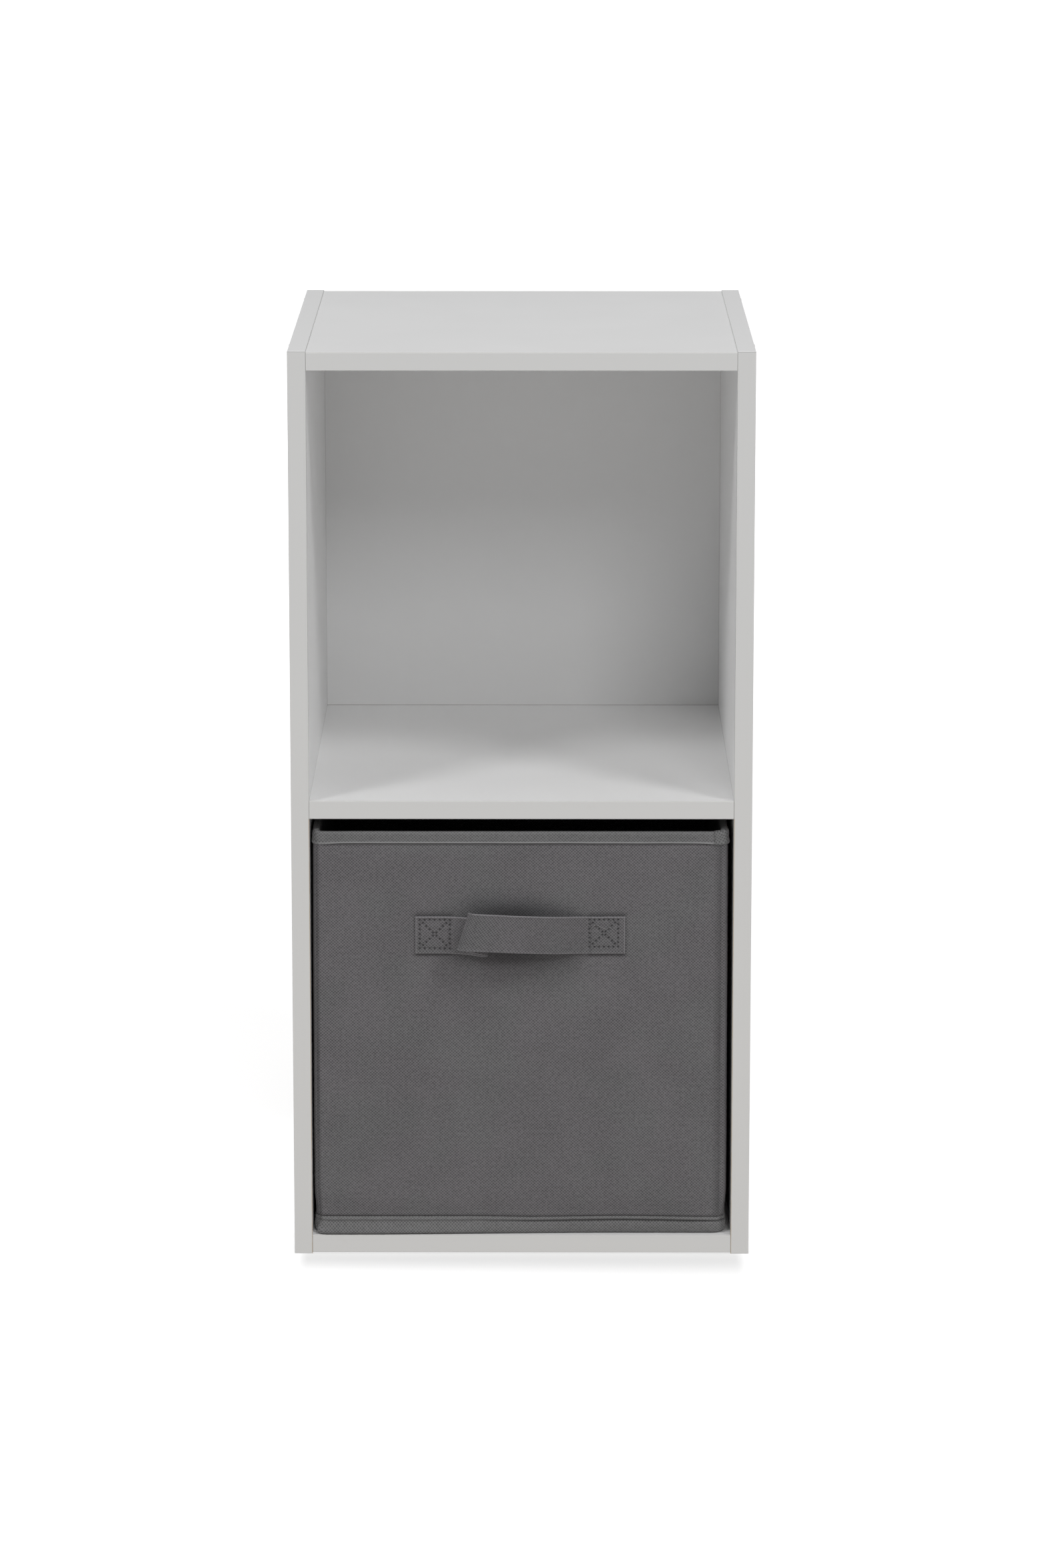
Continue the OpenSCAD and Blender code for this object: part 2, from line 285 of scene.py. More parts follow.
@dataclass(frozen=True)
class LaminateFinish:
    """Light grey-white melamine film on chipboard, raw where an end has no band.

    Attributes:
        rear: the boards' rear plane, where the raw core shows.
        front: the plane behind the front bands, where a line of glue shows.
        jamb: distance of the side panels' inner faces from the middle.
    """

    rear: float
    front: float
    jamb: float
    film: Colour = srgb(247, 247, 247)
    film_shade: Colour = srgb(245, 245, 245)
    glue: Colour = srgb(176, 160, 132)
    dirt: Colour = srgb(120, 117, 110)
    chips: tuple[Colour, ...] = (srgb(150, 118, 80), srgb(196, 165, 120), srgb(222, 198, 158))

    def build(self) -> bpy.types.Material:
        """Returns the material."""
        shader = new_shader("laminate")
        place = shader.place()
        x, y, z = shader.axes(place)
        film = shader.mixed(shader.noise(place, 9, 3).eased(0.35, 0.65), self.film, self.film_shade)
        reach = abs(x) - self.jamb
        joint = (reach + 0.2 * MM).over(0) * (1 - (reach + 0.01 * MM).over(0)) * 0.3
        film = shader.mixed(joint, film, self.dirt)
        glue = (1 - (y - self.front).eased(0.1 * MM, 0.45 * MM)) * 0.75
        film = shader.mixed(glue, film, self.glue)
        flake = shader.flakes(shader.stretched(place, (1.0, 1.0, 2.2)), 420)
        core = shader.node("ShaderNodeValToRGB", {0: flake}, stops=list(zip((0.1, 0.5, 0.9), self.chips)))
        raw = (0.1 * MM - z).over(0).most((y - self.rear + 0.1 * MM).over(0))
        relief = shader.noise(place, 1500, 2, 0.6) * (1 - raw) * 0.12 + flake * raw
        return shader.finished(
            Base_Color=shader.mixed(raw, film, core),
            Roughness=shader.noise(place, 30, 3) * 0.08 + 0.36 + raw * 0.45,
            Specular_IOR_Level=0.45,
            Normal=shader.bumped(relief, 0.12 * MM, 0.35),
        )


@dataclass(frozen=True)
class BandFinish:
    """The thin plastic band on the boards' edges, with a line of glue along its inner edge beside the box,
    painted darker on the fronts than on the tops.

    Attributes:
        jamb: distance of the side panels' inner faces from the middle.
        shelf: height of the underside of the middle shelf.
        crown: height of the joint between the front bands and the top bands.
    """

    jamb: float
    shelf: float
    crown: float
    # Painted light: the front bands get a darker colour and the top bands a lighter one, though the band is
    # one colour.
    front: Colour = srgb(226, 226, 225)
    top: Colour = srgb(238, 238, 238)
    worn: Colour = srgb(222, 221, 219)
    glue: Colour = srgb(206, 184, 150)
    dirt: Colour = srgb(124, 123, 120)

    def build(self) -> bpy.types.Material:
        """Returns the material."""
        shader = new_shader("edge_band")
        place = shader.place()
        x, _, z = shader.axes(place)
        streaks = shader.noise(shader.stretched(place, (30.0, 30.0, 3.0)), 12, 3)
        rubbed = shader.noise(place, 60, 4, 0.65).eased(0.62, 0.8) * 0.4
        reach = abs(x) - self.jamb
        patchy = shader.noise(place, 90, 3).eased(0.25, 0.6) * 0.5 + 0.4
        below = 1 - (z - self.shelf).over(0)
        line = (reach + 0.02 * MM).over(0) * (1 - reach.eased(0.25 * MM, 0.55 * MM)) * patchy * below
        upright = reach.near(0.05 * MM, 0.25 * MM)
        level = (z - self.crown).near(0.05 * MM, 0.25 * MM)
        # Painted light: darker below the crown, on the fronts, and lighter above it, on the tops.
        film = shader.mixed((z - self.crown).over(0), self.front, self.top)
        film = shader.mixed(rubbed, film, self.worn)
        film = shader.mixed(line, film, self.glue)
        return shader.finished(
            Base_Color=shader.mixed(upright.most(level) * 0.55, film, self.dirt),
            Roughness=streaks * 0.12 + 0.42 + rubbed * 0.2,
            Specular_IOR_Level=0.35,
            Normal=shader.bumped(shader.noise(place, 900, 2), 0.05 * MM, 0.2),
        )


@dataclass(frozen=True)
class HardboardFinish:
    """Thin hardboard: lacquered on its front face, bare brown fibre with a screen pattern behind.

    Attributes:
        bare: the plane behind which the fibre is bare.
        jamb: distance of the side panels' inner faces from the middle.
        shelf: height of the top of the middle shelf.
        screen: pitch of the screen pattern.
    """

    bare: float
    jamb: float
    shelf: float
    lacquer: Colour = srgb(237, 237, 237)
    fibre: tuple[Colour, Colour] = (srgb(104, 74, 48), srgb(146, 110, 76))
    crack: Colour = srgb(110, 108, 104)
    screen: float = 1.6 * MM

    def build(self) -> bpy.types.Material:
        """Returns the material."""
        shader = new_shader("hardboard")
        place = shader.place()
        x, y, z = shader.axes(place)
        back = (y - self.bare).over(0)
        felt = shader.noise(place, 260, 5, 0.7)
        mesh = (x * (TAU / self.screen)).cos() * (z * (TAU / self.screen)).cos()
        relief = mesh * back * 0.4 + felt * (back * 0.6 + 0.06)
        low = (z - self.shelf - 0.1 * MM).near(0.1 * MM, 0.4 * MM)
        side = (abs(x) - self.jamb).near(0.1 * MM, 0.35 * MM)
        face = shader.mixed(low.most(side * 0.5) * 0.45, self.lacquer, self.crack)
        return shader.finished(
            Base_Color=shader.mixed(back, face, shader.mixed(felt, *self.fibre)),
            Roughness=back * 0.4 + 0.42,
            Specular_IOR_Level=0.4,
            Normal=shader.bumped(relief, 0.15 * MM, 0.5),
        )


@dataclass(frozen=True)
class NonWovenFinish:
    """Spun-bonded cloth with a lattice of small embossed dots, which follows the cloth.

    Attributes:
        name: the material's name.
        ground: the cloth between the dots.
        tints: the two faint colours that the ground drifts between.
        pit: how dark the dots are, as a share of the ground.
        pitch: distance between dots of one row, and between rows in step.
    """

    name: str
    ground: Colour
    tints: tuple[Colour, Colour]
    pit: float = 0.36
    pitch: tuple[float, float] = (2.13 * MM, 2.0 * MM)

    def build(self) -> bpy.types.Material:
        """Returns the material."""
        shader = new_shader(self.name)
        cloth = shader.node("ShaderNodeUVMap", uv_map=UV_NAME)
        along, up, _ = shader.axes(cloth)
        lattice = (along * (TAU / self.pitch[0])).cos() * (up * (TAU / self.pitch[1])).cos()
        uneven = shader.noise(cloth, 480, 2) * 1.6 - 0.8
        dot = (lattice + uneven).eased(-0.45, 0.85)
        fibres = shader.noise(shader.stretched(cloth, (1.0, 0.35, 1.0)), 2600, 3, 0.7)
        drift = shader.noise(cloth, 22, 2)
        tint = shader.mixed(drift.eased(0.4, 0.6), *self.tints)
        ground = shader.mixed(drift.eased(0.2, 0.8) * 0.5, self.ground, tint)
        thick = shader.noise(cloth, 24, 4, 0.62).eased(0.3, 0.7) * 0.13
        colour = shader.mixed(dot * 0.74 + fibres * 0.16 + thick, ground, scaled(self.ground, self.pit))
        # Painted highlight: the worn attribute lightens the rim's lip, the foot's ridge, the box's corners
        # and the strap's hems.
        worn = shader.attribute("worn") * (fibres * 0.6 + 0.4)
        colour = shader.mixed(worn, colour, scaled(self.ground, 1.7))
        return shader.finished(
            # Painted shade: the needle attribute darkens the needle holes, the stitched lines, the seams and
            # creases, the cloth under the lip and round the strap's sewn ends, and a shadow of the loop
            # behind the strap; it also darkens the whole strap a little.
            Base_Color=shader.mixed(shader.attribute("needle"), colour, scaled(self.ground, 0.1)),
            Roughness=0.92 - (1 - dot) * 0.08,
            Specular_IOR_Level=0.25,
            Sheen_Weight=0.12,
            Sheen_Roughness=0.5,
            Normal=shader.bumped((1 - dot) * 0.7 + fibres * 0.3, 0.22 * MM, 0.8),
        )


@dataclass(frozen=True)
class GrainFinish:
    """A finish of two colours that one fine grain runs between, as on card, beech, zinc, plastic or thread.

    Attributes:
        name: the material's name.
        colours: the two colours.
        grain: the grain's scale, detail and roughness.
        rough: how much the grain adds to the roughness, and the least roughness.
        relief: the grain's depth, and its strength.
        stretch: how much finer the grain is along each axis.
        turn: where in the grain the colour starts and ends its change; None for its whole range.
    """

    name: str
    colours: tuple[Colour, Colour]
    grain: tuple[float, ...]
    rough: tuple[float, float]
    relief: tuple[float, float]
    stretch: Colour | None = None
    turn: tuple[float, float] | None = None

    def build(self, **more: float) -> bpy.types.Material:
        """Returns the material, with the values of some more sockets."""
        shader = new_shader(self.name)
        place = shader.place()
        if self.stretch:
            place = shader.stretched(place, self.stretch)
        grain = shader.noise(place, *self.grain)
        share = grain.eased(*self.turn) if self.turn else grain
        return shader.finished(
            Base_Color=shader.mixed(share, *self.colours),
            Roughness=grain * self.rough[0] + self.rough[1],
            Normal=shader.bumped(grain, *self.relief),
            **more,
        )


CARD = GrainFinish(
    "grey_card", (srgb(132, 126, 116), srgb(156, 150, 139)), (700, 4, 0.75), (0.1, 0.85), (0.1 * MM, 0.5),
    turn=(0.35, 0.65),
)
BEECH = GrainFinish(
    "beech", (srgb(196, 160, 116), srgb(222, 190, 148)), (1800, 4, 0.7), (0.15, 0.55), (0.08 * MM, 0.5),
    stretch=(0.12, 1.0, 1.0),
)
ZINC = GrainFinish(
    "screw_steel", (srgb(176, 178, 180), srgb(202, 203, 204)), (1400, 3, 0.6), (0.25, 0.22), (0.02 * MM, 0.3)
)
PLASTIC = GrainFinish(
    "cap_plastic", (srgb(224, 223, 220), srgb(230, 229, 226)), (2400, 2), (0.12, 0.34), (0.03 * MM, 0.3)
)


def thread_finish(name: str, *colours: Colour) -> bpy.types.Material:
    """Makes twisted sewing thread of two colours."""
    return GrainFinish(name, colours, (4500, 2), (0.2, 0.6), (0.05 * MM, 0.5)).build(Sheen_Weight=0.3)


def dress(node: bpy.types.Object, material: bpy.types.Material) -> None:
    """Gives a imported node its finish."""
    node.material_slots[0].material = material
    LOG.info("%s: dressed", node.name)


def outward(bm: bmesh.types.BMesh, centre: Vector) -> None:
    """Turns all faces of a shell outwards.

    Args:
        bm: the shell.
        centre: a point inside it.
    """
    bmesh.ops.recalc_face_normals(bm, faces=bm.faces)
    bm.normal_update()
    lean = sum(face.normal.dot(face.calc_center_median() - centre) * face.calc_area() for face in bm.faces)
    if lean < 0:
        bmesh.ops.reverse_faces(bm, faces=bm.faces)


def block(low: Vector, high: Vector) -> bmesh.types.BMesh:
    """Makes a plain block.

    Args:
        low: its lowest corner.
        high: its highest corner.

    Returns:
        The block.
    """
    bm = bmesh.new()
    bmesh.ops.create_cube(bm, size=1.0)
    bmesh.ops.scale(bm, vec=high - low, verts=bm.verts)
    bmesh.ops.translate(bm, vec=(low + high) / 2, verts=bm.verts)
    return bm


def rounded(
    bm: bmesh.types.BMesh, geom: Iterable, offset: float, segments: int, affect: str = "EDGES"
) -> None:
    """Rounds edges or corners.

    Args:
        bm: the shape.
        geom: the edges or corners.
        offset: how far they are rounded.
        segments: steps round each.
        affect: EDGES, or VERTICES for corners.
    """
    bmesh.ops.bevel(
        bm, geom=list(geom), offset=offset, segments=segments, profile=0.5, affect=affect, material=-1
    )


def chart_by(bm: bmesh.types.BMesh, rule: Callable[[bmesh.types.BMVert], tuple[float, float]]) -> None:
    """Writes each vertex's place on the cloth to the corners of the faces.

    Args:
        bm: the shape.
        rule: gives the place of a vertex.
    """
    uv = bm.loops.layers.uv.new(UV_NAME)
    for face in bm.faces:
        for loop in face.loops:
            loop[uv].uv = rule(loop.vert)


def make_piece(
    name: str,
    bm: bmesh.types.BMesh,
    material: bpy.types.Material,
    body: Body,
    nodes: Iterable[str] = (),
    smooth: bool = True,
    thickness: float = 0.0,
) -> bpy.types.Object:
    """Turns a bmesh into a piece that rides on a body.

    Args:
        name: the piece's name.
        bm: its shape, in place; it is freed.
        material: its finish.
        body: the body that it rides on.
        nodes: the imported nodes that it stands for.
        smooth: whether its faces are shaded smooth.
        thickness: a cloth's thickness, which it gets inwards from its outer face.

    Returns:
        The new object.
    """
    for face in bm.faces:
        face.smooth = smooth
    mesh = bpy.data.meshes.new(name)
    bm.to_mesh(mesh)
    bm.free()
    mesh.materials.append(material)
    made = bpy.data.objects.new(name, mesh)
    bpy.context.scene.collection.objects.link(made)
    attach(made, body.value)
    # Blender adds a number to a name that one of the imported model's own materials has.
    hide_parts(*nodes)
    if thickness:
        wall = made.modifiers.new("thickness", "SOLIDIFY")
        wall.thickness, wall.offset = thickness, -1.0
        wall.use_even_offset = False
    LOG.info("%s: %d faces on %s", name, len(mesh.polygons), body.value)
    return made


def through(knots: Sequence[Vector], steps: int) -> list[Vector]:
    """Draws a smooth curve through knots.

    Args:
        knots: the knots.
        steps: steps between two knots.

    Returns:
        Close points on the curve.
    """
    found = []
    for index in range(len(knots) - 1):
        a, b = knots[max(index - 1, 0)], knots[index]
        c, d = knots[index + 1], knots[min(index + 2, len(knots) - 1)]
        for step in range(steps):
            t = step / steps
            bend = 2 * b + (c - a) * t + (2 * a - 5 * b + 4 * c - d) * t * t
            found.append((bend + (3 * b - a - 3 * c + d) * t**3) * 0.5)
    return [*found, knots[-1]]


@dataclass(frozen=True)
class Wave:
    """Smooth seeded noise over a cloth.

    Attributes:
        size: its greatest height.
        along: its wavelength along the cloth.
        up: its wavelength up the cloth.
        seed: its own number.
    """

    size: float
    along: float
    up: float
    seed: float

    def at(self, along: float, up: float = 0.0) -> float:
        """Returns its height at a place."""
        return self.size * noise.noise(Vector((along / self.along, up / self.up, self.seed)))


@dataclass(frozen=True)
class Loft:
    """A tube of four-sided faces, extruded ring by ring from a circle.

    Attributes:
        around: number of points round a ring.
        rings: number of rings.
        place: where a point of a ring goes, by the ring and the point.
        chart: its place on the cloth; the point after the last closes the ring.
        tone: how much painted highlight and how much painted shade a point gets, or None.
        capped: whether the two ends are closed.
    """

    around: int
    rings: int
    place: Callable[[int, int], Vector]
    chart: Callable[[int, int], tuple[float, float]]
    tone: Callable[[int, int], tuple[float, float]] | None = None
    capped: bool = False

    def build(self) -> bmesh.types.BMesh:
        """Returns the tube."""
        bm = bmesh.new()
        step, ring = bm.verts.layers.int.new("step"), bm.verts.layers.int.new("ring")
        first = bmesh.ops.create_circle(bm, segments=self.around, radius=1.0, cap_ends=self.capped)
        for index, vert in enumerate(first["verts"]):
            vert[step] = index
            vert.co = self.place(0, index)
        edges = list(bm.edges)
        for number in range(1, self.rings):
            made = bmesh.ops.extrude_edge_only(bm, edges=edges)["geom"]
            edges = [item for item in made if isinstance(item, bmesh.types.BMEdge) and item.is_boundary]
            for vert in (item for item in made if isinstance(item, bmesh.types.BMVert)):
                vert[ring] = number
                vert.co = self.place(number, vert[step])
        if self.capped:
            bmesh.ops.contextual_create(bm, geom=edges)
        uv = bm.loops.layers.uv.new(UV_NAME)
        for face in bm.faces:
            steps = [loop.vert[step] for loop in face.loops]
            wraps = max(steps) - min(steps) > self.around / 2
            for loop in face.loops:
                index = loop.vert[step]
                index += self.around if wraps and index < self.around / 2 else 0
                loop[uv].uv = self.chart(loop.vert[ring], index)
        if self.tone:
            # worn holds the painted highlight and needle the painted shade, with the needle holes' shade
            # among it.
            worn, needle = bm.verts.layers.float.new("worn"), bm.verts.layers.float.new("needle")
            for vert in bm.verts:
                vert[worn], vert[needle] = self.tone(vert[ring], vert[step])
        return bm


@dataclass(frozen=True)
class Station:
    """One place on an outline seen from above.

    Attributes:
        x: across.
        y: towards the back.
        out: the direction away from the outline.
        along: distance along the outline from its start.
        corner: distance along the outline to the nearest corner.
        which: that corner's number, from the rear left, anticlockwise.
    """

    x: float
    y: float
    out: Vector
    along: float
    corner: float
    which: int

    def at(self, out: float, z: float) -> Vector:
        """Returns the point at a distance out from here, at a height."""
        spot = Vector((self.x, self.y)) + self.out * out
        return Vector((spot.x, spot.y, z))


@dataclass(frozen=True)
class Outline:
    """A rectangle with round corners, walked anticlockwise from the rear right corner.

    Attributes:
        centre: its middle, across and from front to back.
        size: its size, across and from front to back.
        radius: its corners' radius.
        per_side: steps along each straight side.
        per_corner: steps round each corner.
    """

    centre: tuple[float, float]
    size: tuple[float, float]
    radius: float
    per_side: int
    per_corner: int

    def length(self) -> float:
        """Returns the length all the way round."""
        return 2 * sum(self.size) - (8 - TAU) * self.radius

    def stations(self) -> list[Station]:
        """Returns the places on the outline, in order."""
        found: list[tuple[Vector, Vector, float]] = []
        corners: list[float] = []
        along, bend = 0.0, self.radius * math.pi / 2
        for quarter in range(4):
            angle = math.pi / 2 * quarter + math.pi
            ahead = Vector((math.cos(angle), math.sin(angle)))
            out = Vector((ahead.y, -ahead.x))
            straight = self.size[quarter % 2] - 2 * self.radius
            start = out * (self.size[1 - quarter % 2] / 2) - ahead * (straight / 2)
            for index in range(self.per_side):
                ran = straight * index / self.per_side
                found.append((start + ahead * ran, out, along + ran))
            along += straight
            hub = start + ahead * straight - out * self.radius
            corners.append(along + bend / 2)
            for index in range(self.per_corner):
                share = index / self.per_corner
                turn = math.atan2(out.y, out.x) + math.pi / 2 * share
                away = Vector((math.cos(turn), math.sin(turn)))
                found.append((hub + away * self.radius, away, along + bend * share))
            along += bend
        stations = []
        for spot, out, ran in found:
            gaps = [min(abs(ran - corner), along - abs(ran - corner)) for corner in corners]
            x, y = spot.x + self.centre[0], spot.y + self.centre[1]
            stations.append(Station(x, y, out, ran, min(gaps), gaps.index(min(gaps))))
        return stations


Rows = Sequence[tuple[float, float]]
Shift = Callable[[Station, float, float], tuple[float, float]]
Tone = Callable[[Station, int], float]

# Half a screw cap from its middle: distance out as a share of its radius, and height as a share of its own.
CAP_PROFILE = (
    (0.0, 0.0), (1.0, 0.0), (1.0, 0.42), (0.975, 0.58), (0.9, 0.74), (0.6, 0.93), (0.3, 0.99), (0.0, 1.0),
)


@dataclass(frozen=True)
class Carcass:
    """The boards, their bands, the back panel and what joins them.

    Attributes:
        nodes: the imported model's objects by name.
        roundness: how far the bands' edges are rounded.
        cap_r: the screw caps' radius.
    """

    nodes: dict
    roundness: float = 0.3 * MM
    cap_r: float = 6.0 * MM

    def build(self) -> None:
        """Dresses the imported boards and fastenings, and makes the bands and caps."""
        shelf, back = span("middle_shelf"), span("back_panel")
        jamb = shelf[1].x
        laminate = LaminateFinish(rear=back[0].y, front=shelf[0].y, jamb=jamb).build()
        zinc, beech = ZINC.build(Metallic=1.0), BEECH.build()
        hardboard = HardboardFinish(bare=back[1].y - 0.1 * MM, jamb=jamb, shelf=shelf[1].z).build()
        finishes = {"back_panel": hardboard, "back_panel_nails": zinc}
        finishes.update({"left_side_panel": laminate, "right_side_panel": laminate})
        for board in BOARDS:
            finishes.update({board: laminate, f"{board}_screws": zinc, f"{board}_dowels": beech})
        for name, finish in finishes.items():
            dress(self.nodes[name], finish)
        self.make_bands()
        self.make_caps()

    def make_bands(self) -> None:
        """Makes each edge band, with its outer edges rounded over."""
        shelf, crown = span("middle_shelf"), span("left_side_top_band")[0].z
        finish = BandFinish(jamb=shelf[1].x, shelf=shelf[0].z, crown=crown).build()
        for name in sorted(node for node in self.nodes if node.endswith("_band") and node != "lower_band"):
            bm = block(*span(name))
            way = Vector((0, 0, 1)) if name.endswith("_top_band") else Vector((0, -1, 0))
            bm.normal_update()
            shown = [face for face in bm.faces if face.normal.dot(way) > 0.9]
            rounded(bm, [edge for face in shown for edge in face.edges], self.roundness, 2)
            make_piece(f"{name}_strip", bm, finish, Body.SHELF, [name], smooth=False)

    def make_caps(self) -> None:
        """Makes the domed caps over the screws' heads, each turned from half a profile."""
        finish, radius = PLASTIC.build(), self.cap_r
        for side in Side:
            node = f"{side.name.lower()}_screw_caps"
            low, high = span(node)
            face = span("left_side_panel")[0].x * -side.value
            height = abs((low.x if side is Side.LEFT else high.x) - face) * side.value
            bm = bmesh.new()
            for z in (low.z + radius, (low.z + high.z) / 2, high.z - radius):
                for y in (low.y + radius, high.y - radius):
                    hub = Vector((face, y, z))
                    spots = [hub + Vector((height * up, 0, radius * out)) for out, up in CAP_PROFILE]
                    verts = [bm.verts.new(spot) for spot in spots]
                    edges = [bm.edges.new(pair) for pair in zip(verts, verts[1:])]
                    half = verts + edges
                    bmesh.ops.spin(
                        bm, geom=half, cent=hub, axis=(1, 0, 0), angle=TAU, steps=40, use_merge=True
                    )
            bmesh.ops.remove_doubles(bm, verts=bm.verts, dist=0.001 * MM)
            bmesh.ops.recalc_face_normals(bm, faces=bm.faces)
            make_piece(f"{node}_turned", bm, finish, Body.SHELF, [node])


# The rows of the rim strip and the foot strip, from the seam on: distance out and height in millimetres, and
# how much painted highlight a row gets, up to 1, or how much painted shade, down to -1.
# Painted shade under the lip, a painted highlight on the lip, and a faint one over the fold.
RIM_PROFILE = (
    (0.14, -8.4, -0.5), (0.2, -8.0, -0.8), (0.5, -7.75, -0.6), (1.0, -7.7, 0.2), (1.42, -7.45, 0.9),
    (1.52, -7.05, 1.0), (1.2, -6.65, 0.4), (0.9, -6.2, -0.12), (0.74, -5.2, 0.0), (0.68, -3.8, 0.0),
    (0.68, -2.2, 0.0), (0.5, -1.0, 0.1), (-0.1, -0.3, 0.2), (-1.0, -0.03, 0.2), (-1.9, -0.02, 0.1),
    (-2.9, -0.3, 0.0), (-3.7, -1.0, 0.0), (-4.0, -2.2, 0.0), (-4.05, -4.5, 0.0), (-4.05, -7.9, 0.0),
)
# Painted shade at the seam and in the crease, and a faint painted highlight on the ridge.
FOOT_PROFILE = (
    (-1.2, 11.8, -0.7), (-0.4, 11.55, -0.4), (0.35, 11.1, 0.0), (0.8, 10.5, 0.1), (0.85, 10.0, 0.15),
    (0.78, 9.5, 0.0), (0.6, 9.1, -0.4), (0.45, 8.7, -0.7), (0.55, 8.2, -0.4), (0.9, 7.6, 0.0),
    (1.05, 6.9, 0.0), (1.12, 5.6, 0.0), (1.15, 3.9, 0.0), (0.95, 2.2, 0.0), (0.45, 0.95, 0.0),
    (-0.5, 0.25, 0.0), (-2.2, 0.02, 0.0), (-5.0, 0.0, 0.0),
)
# The first rows of the outer cloth, tucked in at the base seam, as above but with heights over the seam; all
# get painted shade at the seam.
TUCK_PROFILE = ((-1.3, -0.1, -0.7), (-0.6, 0.3, -0.65), (0.0, 0.8, -0.5), (0.2, 1.5, -0.25))

BROAD = Wave(0.32 * MM, 0.085, 0.11, 1.0)
FINE = Wave(0.16 * MM, 0.031, 0.05, 4.0)
TUCKS = Wave(0.22 * MM, 0.008, 0.03, 7.0)
GATHERS = Wave(0.26 * MM, 0.011, 0.02, 9.0)
FOLDED = Wave(0.4, 1.0, 0.05, 51.0)
SEAM = Wave(0.6 * MM, 0.06, 1.0, 24.0)
RIM = Wave(0.14 * MM, 0.024, 0.02, 12.0)
PUFF = Wave(0.13 * MM, 0.012, 0.006, 15.0)
CRUMPLE = Wave(0.45 * MM, 0.0035, 0.003, 27.0)
LAP = Wave(0.5 * MM, 0.005, 1.0, 28.0)
PUCKER = Wave(0.22 * MM, 0.013, 0.006, 21.0)
LOOSE = Wave(0.35 * MM, 0.06, 0.1, 31.0)


